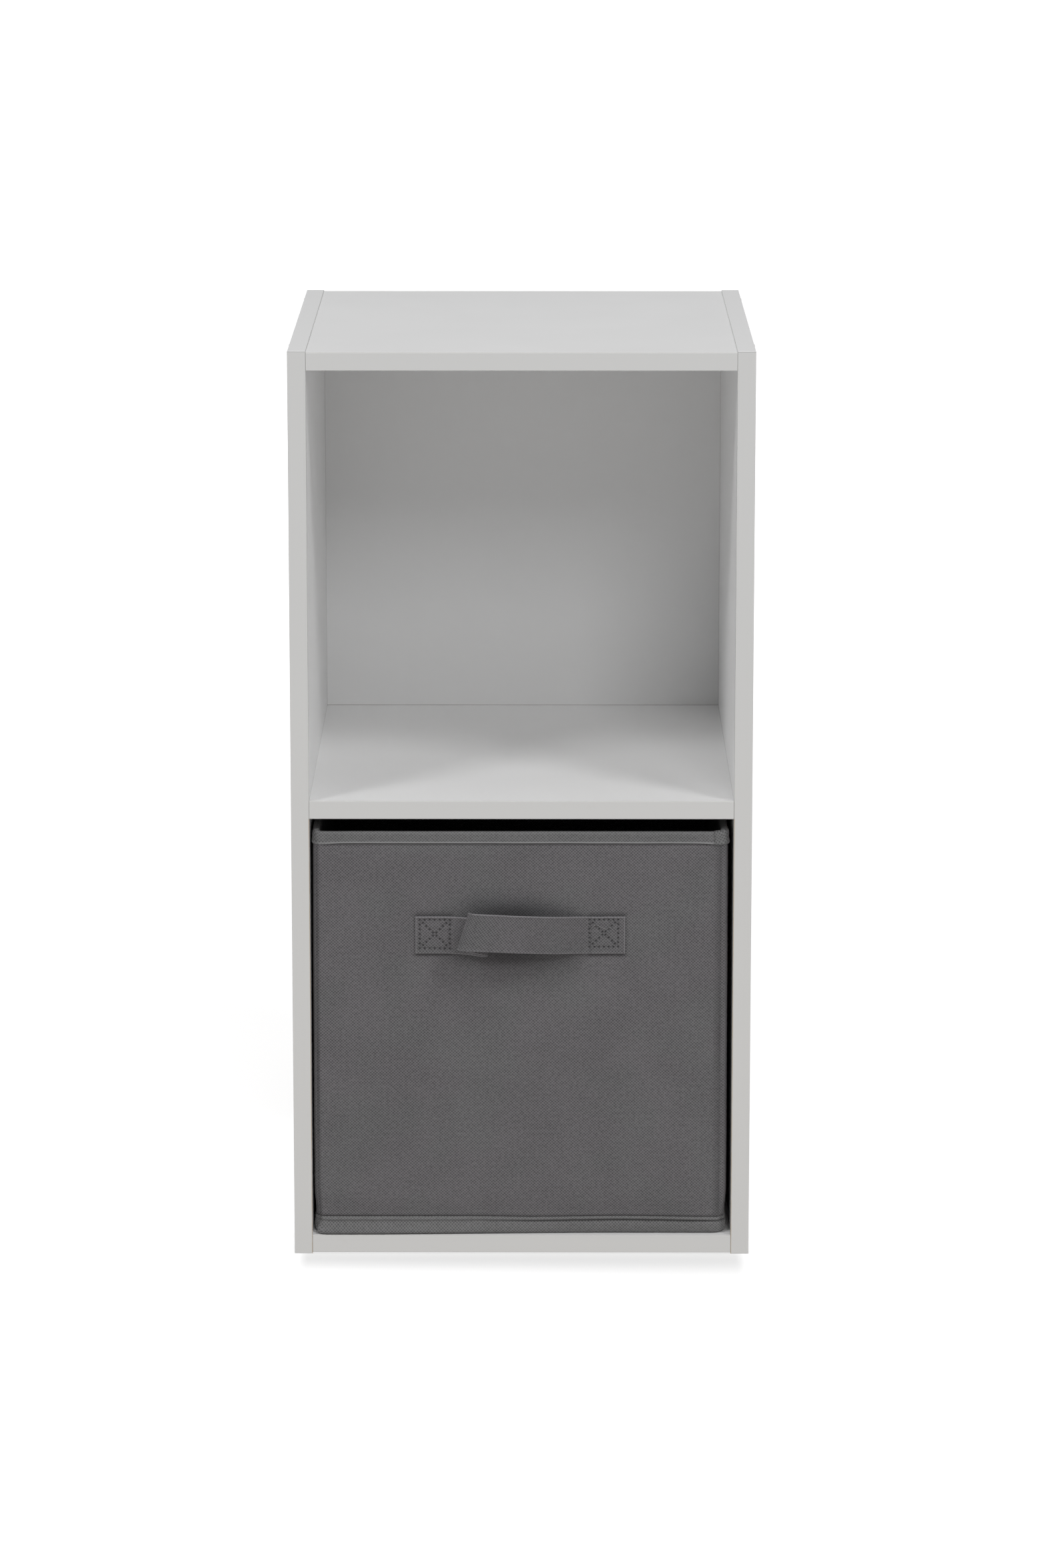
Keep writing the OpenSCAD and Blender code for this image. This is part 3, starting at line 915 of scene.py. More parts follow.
@dataclass(frozen=True)
class ClothBox:
    """The collapsible cloth box: its walls, rim, foot, lining and base.

    Attributes:
        corner_r: radius of the upright corners.
        cloth_t: thickness of the cloth.
        lining_in: how far the lining's outer face lies inside the cover's.
        seam: height of the base seam above the foot.
        rim: height of the folded strip over the rim.
        sag: how far the low part of the walls stands out.
        crown: how far the walls stand out between their corners.
        least: the least that the outer cloth stands out.
        peaks: how high the rim stands up at each corner, from the rear left, anticlockwise.
        creases: how far the painted shade of the soft crease beside each corner lies from its middle.
        cut: width of the strips that the rim and the foot are folded from.
    """

    corner_r: float = 5.0 * MM
    cloth_t: float = 0.5 * MM
    lining_in: float = 2.8 * MM
    seam: float = 11.0 * MM
    rim: float = 8.4 * MM
    sag: float = 1.0 * MM
    crown: float = 0.9 * MM
    least: float = 0.05 * MM
    peaks: tuple[float, ...] = (1.5 * MM, 1.8 * MM, 1.1 * MM, 1.9 * MM)
    creases: tuple[float, ...] = (1.8 * MM, 1.5 * MM, 3.4 * MM, 1.8 * MM)
    cut: tuple[float, float] = (21.5 * MM, 17 * MM)

    def outline(self, per_side: int, per_corner: int, grow: float = 0.0) -> Outline:
        """Traces the cover from above.

        Args:
            per_side: steps along each side.
            per_corner: steps round each corner.
            grow: how far the outline is let out.

        Returns:
            The outline.
        """
        low, high = span("outer_cover")
        centre = ((low.x + high.x) / 2, (low.y + high.y) / 2)
        size = (high.x - low.x + 2 * grow, high.y - low.y + 2 * grow)
        return Outline(centre, size, self.corner_r + grow, per_side, per_corner)

    def foot_z(self) -> float:
        """Returns the height of the underside of the box."""
        return span("base_cloth")[0].z

    def rim_z(self) -> float:
        """Returns the height of the fold of the rim."""
        return span("rim_binding")[1].z

    def share_up(self, z: float) -> tuple[float, float]:
        """Returns a height over the base seam, and as a share of the walls' height."""
        above = z - self.foot_z() - self.seam
        return above, min(max(above / (self.rim_z() - self.foot_z()), 0.0), 1.0)

    def swell(self, station: Station, z: float) -> float:
        """Tells how far the cover stands out from its plain form, never below zero.

        Args:
            station: the place along the walls.
            z: the height.

        Returns:
            The distance.
        """
        below = self.rim_z() - z
        above, share = self.share_up(z)
        low = self.sag * (1 - share) ** 0.8 * ease(0.0, 0.07, share)
        along = station.along
        broad = BROAD.at(along, z) + FINE.at(along, z)
        tucks = TUCKS.at(along, z) * math.exp(-max(below - self.rim, 0) / 0.012)
        gathers = GATHERS.at(along, z) * math.exp(-max(above, 0) / 0.010)
        under_rim = ease(self.rim, self.rim + 5 * MM, below)
        calm = 1 - self.strap_calm(station, z)
        crown = self.crown * ease(0.0, 15 * MM, station.corner - self.corner_r)
        return max(under_rim * (low + crown + calm * (broad + tucks + gathers) + self.least), 0.0)

    def crease(self, station: Station, z: float) -> float:
        """Tells how sharply a corner of the cloth is creased at a height, from folding the box flat."""
        return 0.75 + FOLDED.at(station.which * 1.7, z)

    def strap_calm(self, station: Station, z: float) -> float:
        """Tells how much the sewn ends of the strap hold the front wall flat.

        Args:
            station: the place along the walls.
            z: the height.

        Returns:
            The share, up to 1.
        """
        low, high = span("handle_strap")
        if station.out.y > -0.99:
            return 0.0
        level = ease(low.z - 8 * MM, low.z, z) * (1 - ease(high.z, high.z + 8 * MM, z))
        ends = (station.x - low.x - 12 * MM, station.x - high.x + 12 * MM)
        return level * max(bell(end, 16 * MM) for end in ends)

    def strap_seat(self) -> float:
        """Returns how far the cover stands out where the strap is sewn on."""
        low, high = span("handle_strap")
        return self.sag * (1 - self.share_up((low.z + high.z) / 2)[1]) ** 0.8 + self.crown + self.least

    def sew(
        self, name: str, node: str, material: bpy.types.Material, outline: Outline, rows: Rows, shift: Shift,
        tone: Tone = lambda station, row: 0.0,
    ) -> bpy.types.Object:
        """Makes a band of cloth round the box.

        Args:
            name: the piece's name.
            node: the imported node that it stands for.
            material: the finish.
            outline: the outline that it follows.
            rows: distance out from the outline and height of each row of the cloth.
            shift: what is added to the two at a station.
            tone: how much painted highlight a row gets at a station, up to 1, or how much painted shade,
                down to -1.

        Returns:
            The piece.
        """
        stations = outline.stations()
        run = [0.0]
        for (out_a, z_a), (out_b, z_b) in zip(rows, rows[1:]):
            run.append(run[-1] + math.hypot(out_b - out_a, z_b - z_a))

        def place(row: int, index: int) -> Vector:
            """Returns a point of the band."""
            more_out, more_z = shift(stations[index], *rows[row])
            return stations[index].at(rows[row][0] + more_out, rows[row][1] + more_z)

        def chart(row: int, index: int) -> tuple[float, float]:
            """Returns a point's place on the cloth."""
            return (stations[index].along if index < len(stations) else outline.length()), run[row]

        def level(row: int, index: int) -> tuple[float, float]:
            """Returns how pale and how dark a point is."""
            found = tone(stations[index], row)
            return max(found, 0.0), max(-found, 0.0)

        bm = Loft(len(stations), len(rows), place, chart, level).build()
        low, high = span("outer_cover")
        outward(bm, (low + high) / 2)
        return make_piece(name, bm, material, Body.BOX, [node], thickness=self.cloth_t)

    def build(self) -> None:
        """Makes every cloth of the box."""
        body = NonWovenFinish("box_cloth", srgb(127, 125, 128), (srgb(128, 124, 127), srgb(124, 126, 126)))
        tints = (srgb(131, 129, 131), srgb(130, 131, 131))
        trim = NonWovenFinish("trim_cloth", srgb(131, 131, 132), tints, 0.4)
        cloth, edging = body.build(), trim.build()
        strap = HandleStrap(self.strap_seat())
        self.make_cover(cloth, strap)
        self.make_rim(edging)
        self.make_foot(edging)
        self.make_lining(cloth)
        self.make_base(cloth)
        strap.build(cloth)

    def make_cover(self, material: bpy.types.Material, strap: HandleStrap) -> None:
        """Makes the outer cloth of the walls, tucked in at the base seam and drawn in beside the sewn strap.

        Args:
            material: the finish.
            strap: the strap that is sewn on the front.
        """
        outline = self.outline(62, 12)
        sewn_z, handle_z = self.foot_z() + self.seam, strap.middle_z()
        rows = [(out * MM, sewn_z + up * MM) for out, up, _ in TUCK_PROFILE]
        start, end = sewn_z + 2.6 * MM, self.rim_z() - 1.3 * MM
        row_z = start
        while row_z < end:
            rows.append((0.1 * MM, row_z))
            row_z += 1.5 * MM if abs(row_z - handle_z) < 27 * MM else 4.1 * MM
        rows.append((0.1 * MM, end))

        def shift(station: Station, out: float, z: float) -> tuple[float, float]:
            """Lets the cloth swell over its cards, and draws its corners in towards the seam.

            Args:
                station: the place along the walls.
                out: distance out from the outline.
                z: the height.

            Returns:
                What is added to the distance and to the height.
            """
            held = ease(sewn_z, start + 8 * MM, z)
            drawn = 1.3 * MM * bell(station.corner, 3.4 * MM) * (1 - ease(sewn_z, sewn_z + 25 * MM, z))
            sewn = 0.5 * MM * strap.hold(station, z)[0]
            edge = 0.5 * MM * bell(station.corner, 1.2 * MM) * held * self.crease(station, z)
            return self.swell(station, z) * held + edge - drawn - sewn, SEAM.at(station.along) * (1 - held)

        def tone(station: Station, row: int) -> float:
            """Paints shade at the seam at the foot, round the strap's sewn ends, in the soft crease beside
            each corner and as the loop's shadow behind the strap, and paints a highlight along each corner.

            Args:
                station: the place along the walls.
                row: the row's number.

            Returns:
                How pale it is, up to 1, or how dark, down to -1.
            """
            # Painted shade at the seam.
            if row < len(TUCK_PROFILE):
                return TUCK_PROFILE[row][2]
            sewn, painted_loop_shadow = strap.hold(station, rows[row][1])
            # Painted highlight along each corner, and painted shade in the soft crease beside it.
            edge = 0.35 * bell(station.corner, 0.6 * MM)
            beside = 0.5 * bell(station.corner - self.creases[station.which], 1.0 * MM)
            # Painted shade round the sewn ends and the painted shadow of the loop darken the cloth.
            return -0.45 * sewn - painted_loop_shadow + (edge - beside) * self.crease(station, rows[row][1])

        made = self.sew("outer_cover_cloth", "outer_cover", material, outline, rows, shift, tone)
        outline.length()
        end - sewn_z

    def make_rim(self, material: bpy.types.Material) -> None:
        """Makes the folded strip over the rim, with a rolled lip and peaks at the corners.

        Args:
            material: the finish.
        """
        outline = self.outline(70, 10)
        rim = self.rim_z()
        rows = [(out * MM, rim + up * MM) for out, up, _ in RIM_PROFILE]

        def shift(station: Station, out: float, z: float) -> tuple[float, float]:
            """Raises the corners, and lets the lip dip towards them.

            Args:
                station: the place along the walls.
                out: distance out from the outline.
                z: the height.

            Returns:
                What is added to the distance and to the height.
            """
            high = ease(-6 * MM, -0.5 * MM, z - rim)
            peak = self.peaks[station.which] * bell(station.corner, 2.0 * MM) * (0.15 + 0.85 * high)
            lip = 1 - ease(-8 * MM, -5.5 * MM, z - rim)
            dip = -1.2 * MM * bell(station.corner, 11 * MM) * lip
            puff = PUFF.at(station.along, z) * (1 if out > 0 else 0.4)
            flat = 0.75 * MM * bell(station.corner, 7 * MM) * lip
            return puff - flat, peak + dip + RIM.at(station.along, z) * (0.4 + 0.6 * lip)

        def tone(station: Station, row: int) -> float:
            """Paints a highlight on the lip and shade under it, less at the corners."""
            return RIM_PROFILE[row][2] * (1 - 0.6 * bell(station.corner, 9 * MM))

        made = self.sew("rim_binding_strip", "rim_binding", material, outline, rows, shift, tone)
        lap = self.make_overlap(material, rows, shift)
        flat, rests_on = (outline.length(), self.cut[0]), ["outer_cover_cloth", "lining_cloth"]

    def make_overlap(self, material: bpy.types.Material, rows: Rows, shift: Shift) -> bpy.types.Object:
        """Makes the rim strip's end, which laps over its start at the front right corner.

        Args:
            material: the finish.
            rows: the rim strip's rows.
            shift: how the rim strip leaves its plain form.

        Returns:
            The piece.
        """
        right_front, near_it = 2, 15 * MM
        stations = self.outline(140, 14).stations()
        near = [st for st in stations if st.which == right_front and st.corner < near_it]
        hinge = near[0].along + near_it
        lap = [st for st in near if hinge - 9.5 * MM < st.along < hinge + 13 * MM]
        across, up = len(lap) - 1, len(rows) - 1
        bm = bmesh.new()
        bmesh.ops.create_grid(bm, x_segments=across, y_segments=up, size=0.5)
        charted = {}
        for vert in bm.verts:
            column = round((vert.co.x + 0.5) * across)
            station = lap[column]
            out, z = rows[round((vert.co.y + 0.5) * up)]
            more_out, more_z = shift(station, out, z)
            end = 1 - ease(0.0, 1.2, min(column, across - column))
            lift = 0.55 * MM * (1 - 0.4 * end)
            side = 1 if out > -1.5 * MM else -1
            rise = lift * ease(-1.5 * MM, 0.0, z - self.rim_z())
            rise += LAP.at(station.along) * ease(5 * MM, 8 * MM, self.rim_z() - z)
            stand = side * (lift + CRUMPLE.at(station.along, z))
            vert.co = station.at(out + more_out + stand, z + more_z + rise)
            charted[vert] = (station.along * 0.98 + z * 0.2, z * 0.98 - station.along * 0.2)
        chart_by(bm, charted.__getitem__)
        low, high = span("outer_cover")
        outward(bm, Vector(((low.x + high.x) / 2, (low.y + high.y) / 2, self.rim_z() - 4 * MM)))
        return make_piece("rim_overlap", bm, material, Body.BOX, thickness=self.cloth_t)

    def make_foot(self, material: bpy.types.Material) -> None:
        """Makes the strip round the foot: a ridge under the seam, a crease, and a soft round edge.

        Args:
            material: the finish.
        """
        outline = self.outline(64, 10)
        foot = self.foot_z()
        rows = [(out * MM, foot + up * MM) for out, up, _ in FOOT_PROFILE]
        left = span("lower_band")[0].x
        width = span("lower_band")[1].x - left

        def shift(station: Station, out: float, z: float) -> tuple[float, float]:
            """Deepens the crease to the right, lets the strip pucker, and lets it sag forward on the left.

            Args:
                station: the place along the walls.
                out: distance out from the outline.
                z: the height.

            Returns:
                What is added to the distance and to the height.
            """
            up = z - foot
            share = (station.x - left) / width
            right = ease(0.3, 0.7, share) * (1 - 0.7 * bell(station.corner, 12 * MM))
            crease = -1.2 * MM * bell(up - 8.6 * MM, 0.8 * MM) * right
            fill = 0.35 * MM * bell(up - 8.7 * MM, 0.7 * MM) * (1 - right)
            sunk = -0.5 * MM * ease(9.6 * MM, 11 * MM, up) * (1 - right)
            pucker = PUCKER.at(station.along, up) * ease(0.0, 2 * MM, up)
            front = ease(0.5, 1.0, -station.out.y)
            sag = 4.6 * MM * (1 - ease(0.05, 0.75, share)) * (1 - ease(1.0 * MM, 8 * MM, up)) * front
            drawn = bell(station.corner, 3.4 * MM) * (1.5 * MM + 0.7 * MM * bell(up - 9.5 * MM, 2 * MM))
            bent = crease + fill + sunk + pucker + sag
            if out > -0.5 * MM:
                bent = max(bent, -0.42 * MM - out)
            return bent - drawn, SEAM.at(station.along) * ease(4 * MM, 9 * MM, up)

        def tone(station: Station, row: int) -> float:
            """Paints shade at the seam and in the crease, less in the crease on the left where it is
            shallow, and a highlight on the ridge.

            Args:
                station: the place along the walls.
                row: the row's number.

            Returns:
                How pale it is, up to 1, or how dark, down to -1.
            """
            creased = 4 < row < 10
            deep = 0.35 + 0.65 * ease(0.3, 0.6, (station.x - left) / width) if creased else 1.0
            return FOOT_PROFILE[row][2] * deep

        made = self.sew("lower_band_strip", "lower_band", material, outline, rows, shift, tone)
        outline.length()

    def make_lining(self, material: bpy.types.Material) -> None:
        """Makes the inner cloth of the walls.

        Args:
            material: the finish.
        """
        outline = self.outline(40, 3, -self.lining_in)
        start, end, count = self.foot_z() + 1.2 * MM, self.rim_z() - 1.3 * MM, 34
        rows = [(0.0, start + (end - start) * index / (count - 1)) for index in range(count)]

        def shift(station: Station, out: float, z: float) -> tuple[float, float]:
            """Lets the lining hang a little loose, inwards."""
            free = ease(start, start + 12 * MM, z) * (1 - ease(end - 14 * MM, end, z))
            return -max(LOOSE.at(station.along, z) + 0.3 * MM, 0.0) * free, 0.0

        made = self.sew("lining_cloth", "lining", material, outline, rows, shift)
        outline.length()

    def make_base(self, material: bpy.types.Material) -> None:
        """Makes the cloth floor of the box, from one square with rounded corners.

        Args:
            material: the finish.
        """
        low, high = span("base_cloth")
        inset = 2.2 * MM
        size = (high.x - low.x - 2 * inset, high.y - low.y - 2 * inset, 1.0)
        bm = bmesh.new()
        bmesh.ops.create_grid(bm, x_segments=1, y_segments=1, size=0.5)
        bmesh.ops.scale(bm, vec=size, verts=bm.verts)
        rounded(bm, bm.verts, self.corner_r - inset, 4, "VERTICES")
        bmesh.ops.translate(bm, vec=((low.x + high.x) / 2, (low.y + high.y) / 2, high.z), verts=bm.verts)
        outward(bm, low)
        chart_by(bm, lambda vert: (vert.co.x, vert.co.y))
        thick = high.z - low.z
        made = make_piece(
            "base_cloth_sheet", bm, material, Body.BOX, ["base_cloth"], smooth=False, thickness=thick
        )


# Knots along the middle of the strap, the same as in the part's source: distance from its centre as a share
# of the free half length, stand-off as a share of the loop's reach, rise and lean as shares of the fold's.
LOOP_KNOTS = (
    (-0.76, 0.11, -0.06, 0.0), (-0.58, 0.24, -0.16, -0.2), (-0.49, 0.38, 0.0, -0.3), (-0.58, 0.53, 0.3, 0.0),
    (-0.72, 0.62, 0.7, 0.6), (-0.81, 0.78, 1.0, 1.0), (-0.73, 0.94, 1.02, 1.0), (-0.45, 1.0, 0.96, 0.8),
    (0.0, 0.92, 0.76, 0.4), (0.45, 0.6, 0.42, 0.1), (0.8, 0.2, 0.12, 0.0),
)
# Knots of the loose thread, in millimetres: along and up from the right square's left edge, and stand-off.
THREAD_KNOTS = (
    (0.0, 2.3, 0.1), (1.6, 5.6, 0.4), (4.1, 7.2, 0.6), (7.4, 6.0, 0.5), (10.4, 4.5, 0.7), (13.1, 5.4, 0.5),
    (14.6, 4.6, 0.3), (15.8, 3.2, 0.15),
)
FRAY = Wave(0.06 * MM, 0.004, 0.004, 41.0)
BOW = Wave(0.15 * MM, 0.02, 1.0, 44.0)


@dataclass(frozen=True)
class SewnPatch:
    """One stitched square at an end of the strap.

    Attributes:
        along: distance of its middle from the strap's end that it is nearest to.
        up: height of its middle over the strap's middle.
        width: its size along the strap.
        height: its size across the strap.
    """

    along: float
    up: float
    width: float
    height: float

    def lines(self) -> list[tuple[Vector, Vector]]:
        """Returns the stitched lines about its middle: four sides and two diagonals."""
        signs = ((-1, -1), (1, -1), (1, 1), (-1, 1))
        corners = [Vector((self.width / 2 * x, self.height / 2 * y)) for x, y in signs]
        sides = list(zip(corners, corners[1:] + corners[:1]))
        return sides + [(corners[0], corners[2]), (corners[1], corners[3])]

    def depth(self, spot: Vector, groove: float, pitch: float) -> tuple[float, float]:
        """Tells how far the stitching draws the strap in at a spot.

        Args:
            spot: place about the patch's middle.
            groove: half width of the drawn-in line.
            pitch: distance between needle holes.

        Returns:
            The share of the full depth, and how much a needle hole marks the spot, with a dent and painted
            shade.
        """
        drawn, hole = 0.0, 0.0
        for start, end in self.lines():
            length = (end - start).length
            ahead = (end - start) / length
            share = min(max((spot - start).dot(ahead), 0.0), length)
            steps = max(round(length / pitch), 1)
            nearest = round(share / length * steps) * length / steps
            drawn = max(drawn, bell((spot - start - ahead * share).length, groove))
            hole = max(hole, bell((spot - start - ahead * nearest).length, 1.5 * groove))
        return drawn, hole


@dataclass(frozen=True)
class HandleStrap:
    """The doubled strap with its slack folded loop, its stitching and a loose end of thread.

    Attributes:
        seat: how far the cover stands out where the strap is sewn on.
        width: the strap's width.
        thickness: its thickness.
        gap: its distance from the cover.
        loop: how far the loop stands off the cover, how far its fold lies above the sewn ends, and how far
            the fold leans sideways from its lower end to its upper end.
        sewn: length that lies flat at each end.
        left: the left stitched square.
        right: the right stitched square.
        pitch: distance between needle holes.
        groove: half width of the line that the stitching draws in.
        face_steps: points across each face of the strap.
    """

    seat: float
    width: float = 25.5 * MM
    thickness: float = 1.2 * MM
    gap: float = 0.1 * MM
    loop: tuple[float, float, float] = (19.0 * MM, 6.3 * MM, 7.6 * MM)
    sewn: float = 23.2 * MM
    left: SewnPatch = SewnPatch(12.9 * MM, 0.7 * MM, 20.0 * MM, 19.5 * MM)
    right: SewnPatch = SewnPatch(14.1 * MM, 1.4 * MM, 18.9 * MM, 18.6 * MM)
    pitch: float = 3.1 * MM
    groove: float = 0.45 * MM
    face_steps: int = 62

    def half(self) -> float:
        """Returns half the strap's length as it lies."""
        low, high = span("handle_strap")
        return (high.x - low.x) / 2

    def knots(self) -> list[Vector]:
        """Returns the knots of the strap's path: across, stand-off, rise and lean."""
        half, free = self.half(), self.half() - self.sewn
        flat = self.gap + self.thickness / 2
        ends = (half, free + self.sewn / 2, free)
        reach, rise, lean = self.loop
        loop = [Vector((x * free, out * reach, up * rise, aside * lean)) for x, out, up, aside in LOOP_KNOTS]
        before = [Vector((-x, flat, 0.0, 0.0)) for x in ends]
        return before + loop + [Vector((x, flat, 0.0, 0.0)) for x in reversed(ends)]

    def stations(self) -> list[tuple[float, Vector, Vector]]:
        """Walks the strap in even steps, fine where it is sewn and wider in the loop.

        Returns:
            Distance along the strap, place and direction of each cross-section.
        """
        path = through(self.knots(), 40)
        along = [0.0]
        for point in path:
            point.y = max(point.y, self.gap + self.thickness / 2)
        for a, b in zip(path, path[1:]):
            along.append(along[-1] + math.hypot(b.x - a.x, b.y - a.y))
        total = along[-1]
        marks = [0.0]
        while marks[-1] < total:
            sewn = marks[-1] < self.sewn or marks[-1] > total - self.sewn
            marks.append(marks[-1] + (0.4 * MM if sewn else 1.1 * MM))
        found, index = [], 0
        for mark in (*marks[:-1], total):
            while index < len(path) - 2 and along[index + 1] < mark:
                index += 1
            share = (mark - along[index]) / max(along[index + 1] - along[index], 1e-9)
            before, after = path[max(index - 3, 0)], path[min(index + 4, len(path) - 1)]
            ahead = Vector((after.x - before.x, after.y - before.y)).normalized()
            found.append((mark, path[index].lerp(path[index + 1], share), ahead))
        return found

    def build(self, material: bpy.types.Material) -> None:
        """Makes the strap, its threads and the loose end.

        Args:
            material: the finish.
        """
        low, high = span("handle_strap")
        base = Vector(((low.x + high.x) / 2, span("outer_cover")[0].y - self.seat, self.middle_z()))
        stations = self.stations()
        total = stations[-1][0]
        around = 2 * self.face_steps

        def section(index: int) -> tuple[float, bool]:
            """Finds a point of the cross-section.

            Args:
                index: the point's number in it.

            Returns:
                Its place across the strap, and whether it is in front.
            """
            front = index < self.face_steps
            share = (index if front else around - 1 - index) / (self.face_steps - 1)
            return (share - 0.5) * self.width, front

        def place(ring: int, index: int) -> Vector:
            """Places a point of the strap's skin.

            Args:
                ring: the cross-section's number.
                index: the point's number in it.

            Returns:
                The place.
            """
            mark, spot, ahead = stations[ring]
            across, front = section(index)
            edge = self.width / 2 - abs(across)
            hem = max(bell(side - 0.8 * MM, 0.5 * MM) for side in (edge, mark, total - mark))
            half = self.thickness / 2 * (1 + 0.4 * hem)
            half *= math.sqrt(1 - (1 - min(edge / (0.45 * MM), 1.0)) ** 2) * 0.85 + 0.15
            if front:
                drawn, hole = self.stitching(mark, total, across)
                half -= (0.3 * drawn + 0.4 * hole) * MM
            out = Vector((ahead.y, -ahead.x)) * (half if front else -half)
            up = spot.z + across + BOW.at(mark) + FRAY.at(mark, across)
            return base + Vector((spot.x + out.x + spot.w * across / self.width, out.y - spot.y, up))

        def chart(ring: int, index: int) -> tuple[float, float]:
            """Returns a point's place on the cloth."""
            behind = 0.0 if index < self.face_steps else self.width
            return stations[ring][0], section(index % around)[0] + behind

        def tone(ring: int, index: int) -> tuple[float, float]:
            """Paints a highlight along the strap's hems, and shade in its needle holes, along its stitched
            lines and in its right fold.

            Args:
                ring: the cross-section's number.
                index: the point's number in it.

            Returns:
                How pale and how dark the point is.
            """
            mark = stations[ring][0]
            across, front = section(index)
            edge = min(self.width / 2 - abs(across), mark, total - mark)
            fold = 0.45 * bell(total - self.sewn + 0.2 * MM - mark, 0.5 * MM)
            drawn, hole = self.stitching(mark, total, across) if front else (0.0, 0.0)
            # Painted highlight on the hems; painted shade in the holes, the stitched lines and the fold,
            # over a slight darkening of the whole strap.
            return 0.5 * (1 - ease(0.5 * MM, 1.0 * MM, edge)), max(0.05 + fold, hole, 0.3 * drawn)

        bm = Loft(around, len(stations), place, chart, tone, capped=True).build()
        bmesh.ops.recalc_face_normals(bm, faces=bm.faces)
        made = make_piece("handle_strap_sewn", bm, material, Body.BOX, ["handle_strap"])
        threads = [self.make_threads(base, total), self.make_loose_end(base)]

    def hold(self, station: Station, z: float) -> tuple[float, float]:
        """Tells how the strap marks the cover at a place.

        Args:
            station: the place along the walls.
            z: the height.

        Returns:
            How far the sewn ends draw the cover in, which also sets painted shade beside them, and how dark
            the painted shadow of the loop makes the cover.
        """
        if station.out.y > -0.99:
            return 0.0, 0.0
        low, high = span("handle_strap")
        edge = abs(z - self.middle_z()) - self.width / 2
        aside = station.x - (low.x + high.x) / 2
        reach = abs(aside) - self.half()
        ends = ease(-self.sewn - 3 * MM, -self.sewn, reach) * (1 - ease(0.0, 3 * MM, reach))
        above = ease(0.0, self.width / 2, z - self.middle_z())
        # Painted shadow of the loop on the cloth behind it, a little deeper above the strap.
        loop = bell(aside + 7 * MM, 30 * MM) * (0.54 + 0.14 * above)
        return ends * bell(edge - 0.9 * MM, 1.3 * MM), loop * bell(edge, 8 * MM)

    def middle_z(self) -> float:
        """Returns the height of the middle of the sewn ends."""
        return span("handle_strap")[0].z + self.width / 2 + 0.16 * self.loop[1]

    def patches(self, total: float) -> list[tuple[SewnPatch, float]]:
        """Returns the stitched squares, with the distance of each one's middle along the strap."""
        return [(self.left, self.left.along), (self.right, total - self.right.along)]

    def stitching(self, mark: float, total: float, across: float) -> tuple[float, float]:
        """Tells how the stitching marks the strap at a place.

        Args:
            mark: distance along the strap.
            total: the strap's whole length.
            across: distance from its middle line.

        Returns:
            How far it is drawn in, and how much a needle hole marks it with a dent and painted shade, as
            shares.
        """
        for patch, middle in self.patches(total):
            spot = Vector((mark - middle, across - patch.up))
            if abs(spot.x) < patch.width and abs(spot.y) < patch.height:
                return patch.depth(spot, self.groove, self.pitch)
        return 0.0, 0.0

    def make_threads(self, base: Vector, total: float) -> bpy.types.Object:
        """Makes the stitches, each a short round thread between two needle holes.

        Args:
            base: the middle of the sewn ends, on the cover.
            total: the strap's whole length.

        Returns:
            The piece.
        """
        finish = thread_finish("grey_thread", srgb(100, 99, 102), srgb(124, 123, 126))
        front, radius = 0.26 * MM - self.gap - self.thickness, 0.17 * MM
        bm = bmesh.new()
        for patch, middle in self.patches(total):
            x = middle - self.half() if middle < total / 2 else self.half() - total + middle
            for start, end in patch.lines():
                line = end - start
                count = max(round(line.length / self.pitch), 1)
                turn = Matrix.Rotation(math.atan2(line.y, line.x), 3, Vector((0, -1, 0)))
                for index in range(count):
                    spot = start + line * ((index + 0.5) / count)
                    made = bmesh.ops.create_icosphere(bm, subdivisions=1, radius=1.0)["verts"]
                    bmesh.ops.scale(bm, vec=(line.length / count / 2 * 0.78, radius, radius), verts=made)
                    bmesh.ops.rotate(bm, cent=(0, 0, 0), matrix=turn, verts=made)
                    where = base + Vector((x + spot.x, front, spot.y + patch.up))
                    bmesh.ops.translate(bm, vec=where, verts=made)
        return make_piece("strap_stitches", bm, finish, Body.BOX)

    def make_loose_end(self, base: Vector) -> bpy.types.Object:
        """Makes the loose end of thread that wanders over the right stitched square.

        Args:
            base: the middle of the sewn ends, on the cover.

        Returns:
            The piece.
        """
        finish = thread_finish("pale_thread", srgb(128, 126, 128), srgb(156, 154, 156))
        left = self.half() - self.right.along - self.right.width / 2
        face = self.gap + self.thickness
        knots = [base + Vector((left + x * MM, -face - out * MM, z * MM)) for x, z, out in THREAD_KNOTS]
        points = through(knots, 6)
        radius, sides = 0.13 * MM, 6

        def place(ring: int, index: int) -> Vector:
            """Places a point of the thread's skin.

            Args:
                ring: the cross-section's number.
                index: the point's number in it.

            Returns:
                The place.
            """
            ahead = (points[min(ring + 1, len(points) - 1)] - points[max(ring - 1, 0)]).normalized()
            first = ahead.cross(Vector((0, 1, 0))).normalized()
            angle = TAU * index / sides
            return points[ring] + (first * math.cos(angle) + ahead.cross(first) * math.sin(angle)) * radius

        loft = Loft(sides, len(points), place, lambda ring, index: (ring * MM, index * MM), capped=True)
        bm = loft.build()
        bmesh.ops.recalc_face_normals(bm, faces=bm.faces)
        return make_piece("loose_thread", bm, finish, Body.BOX)


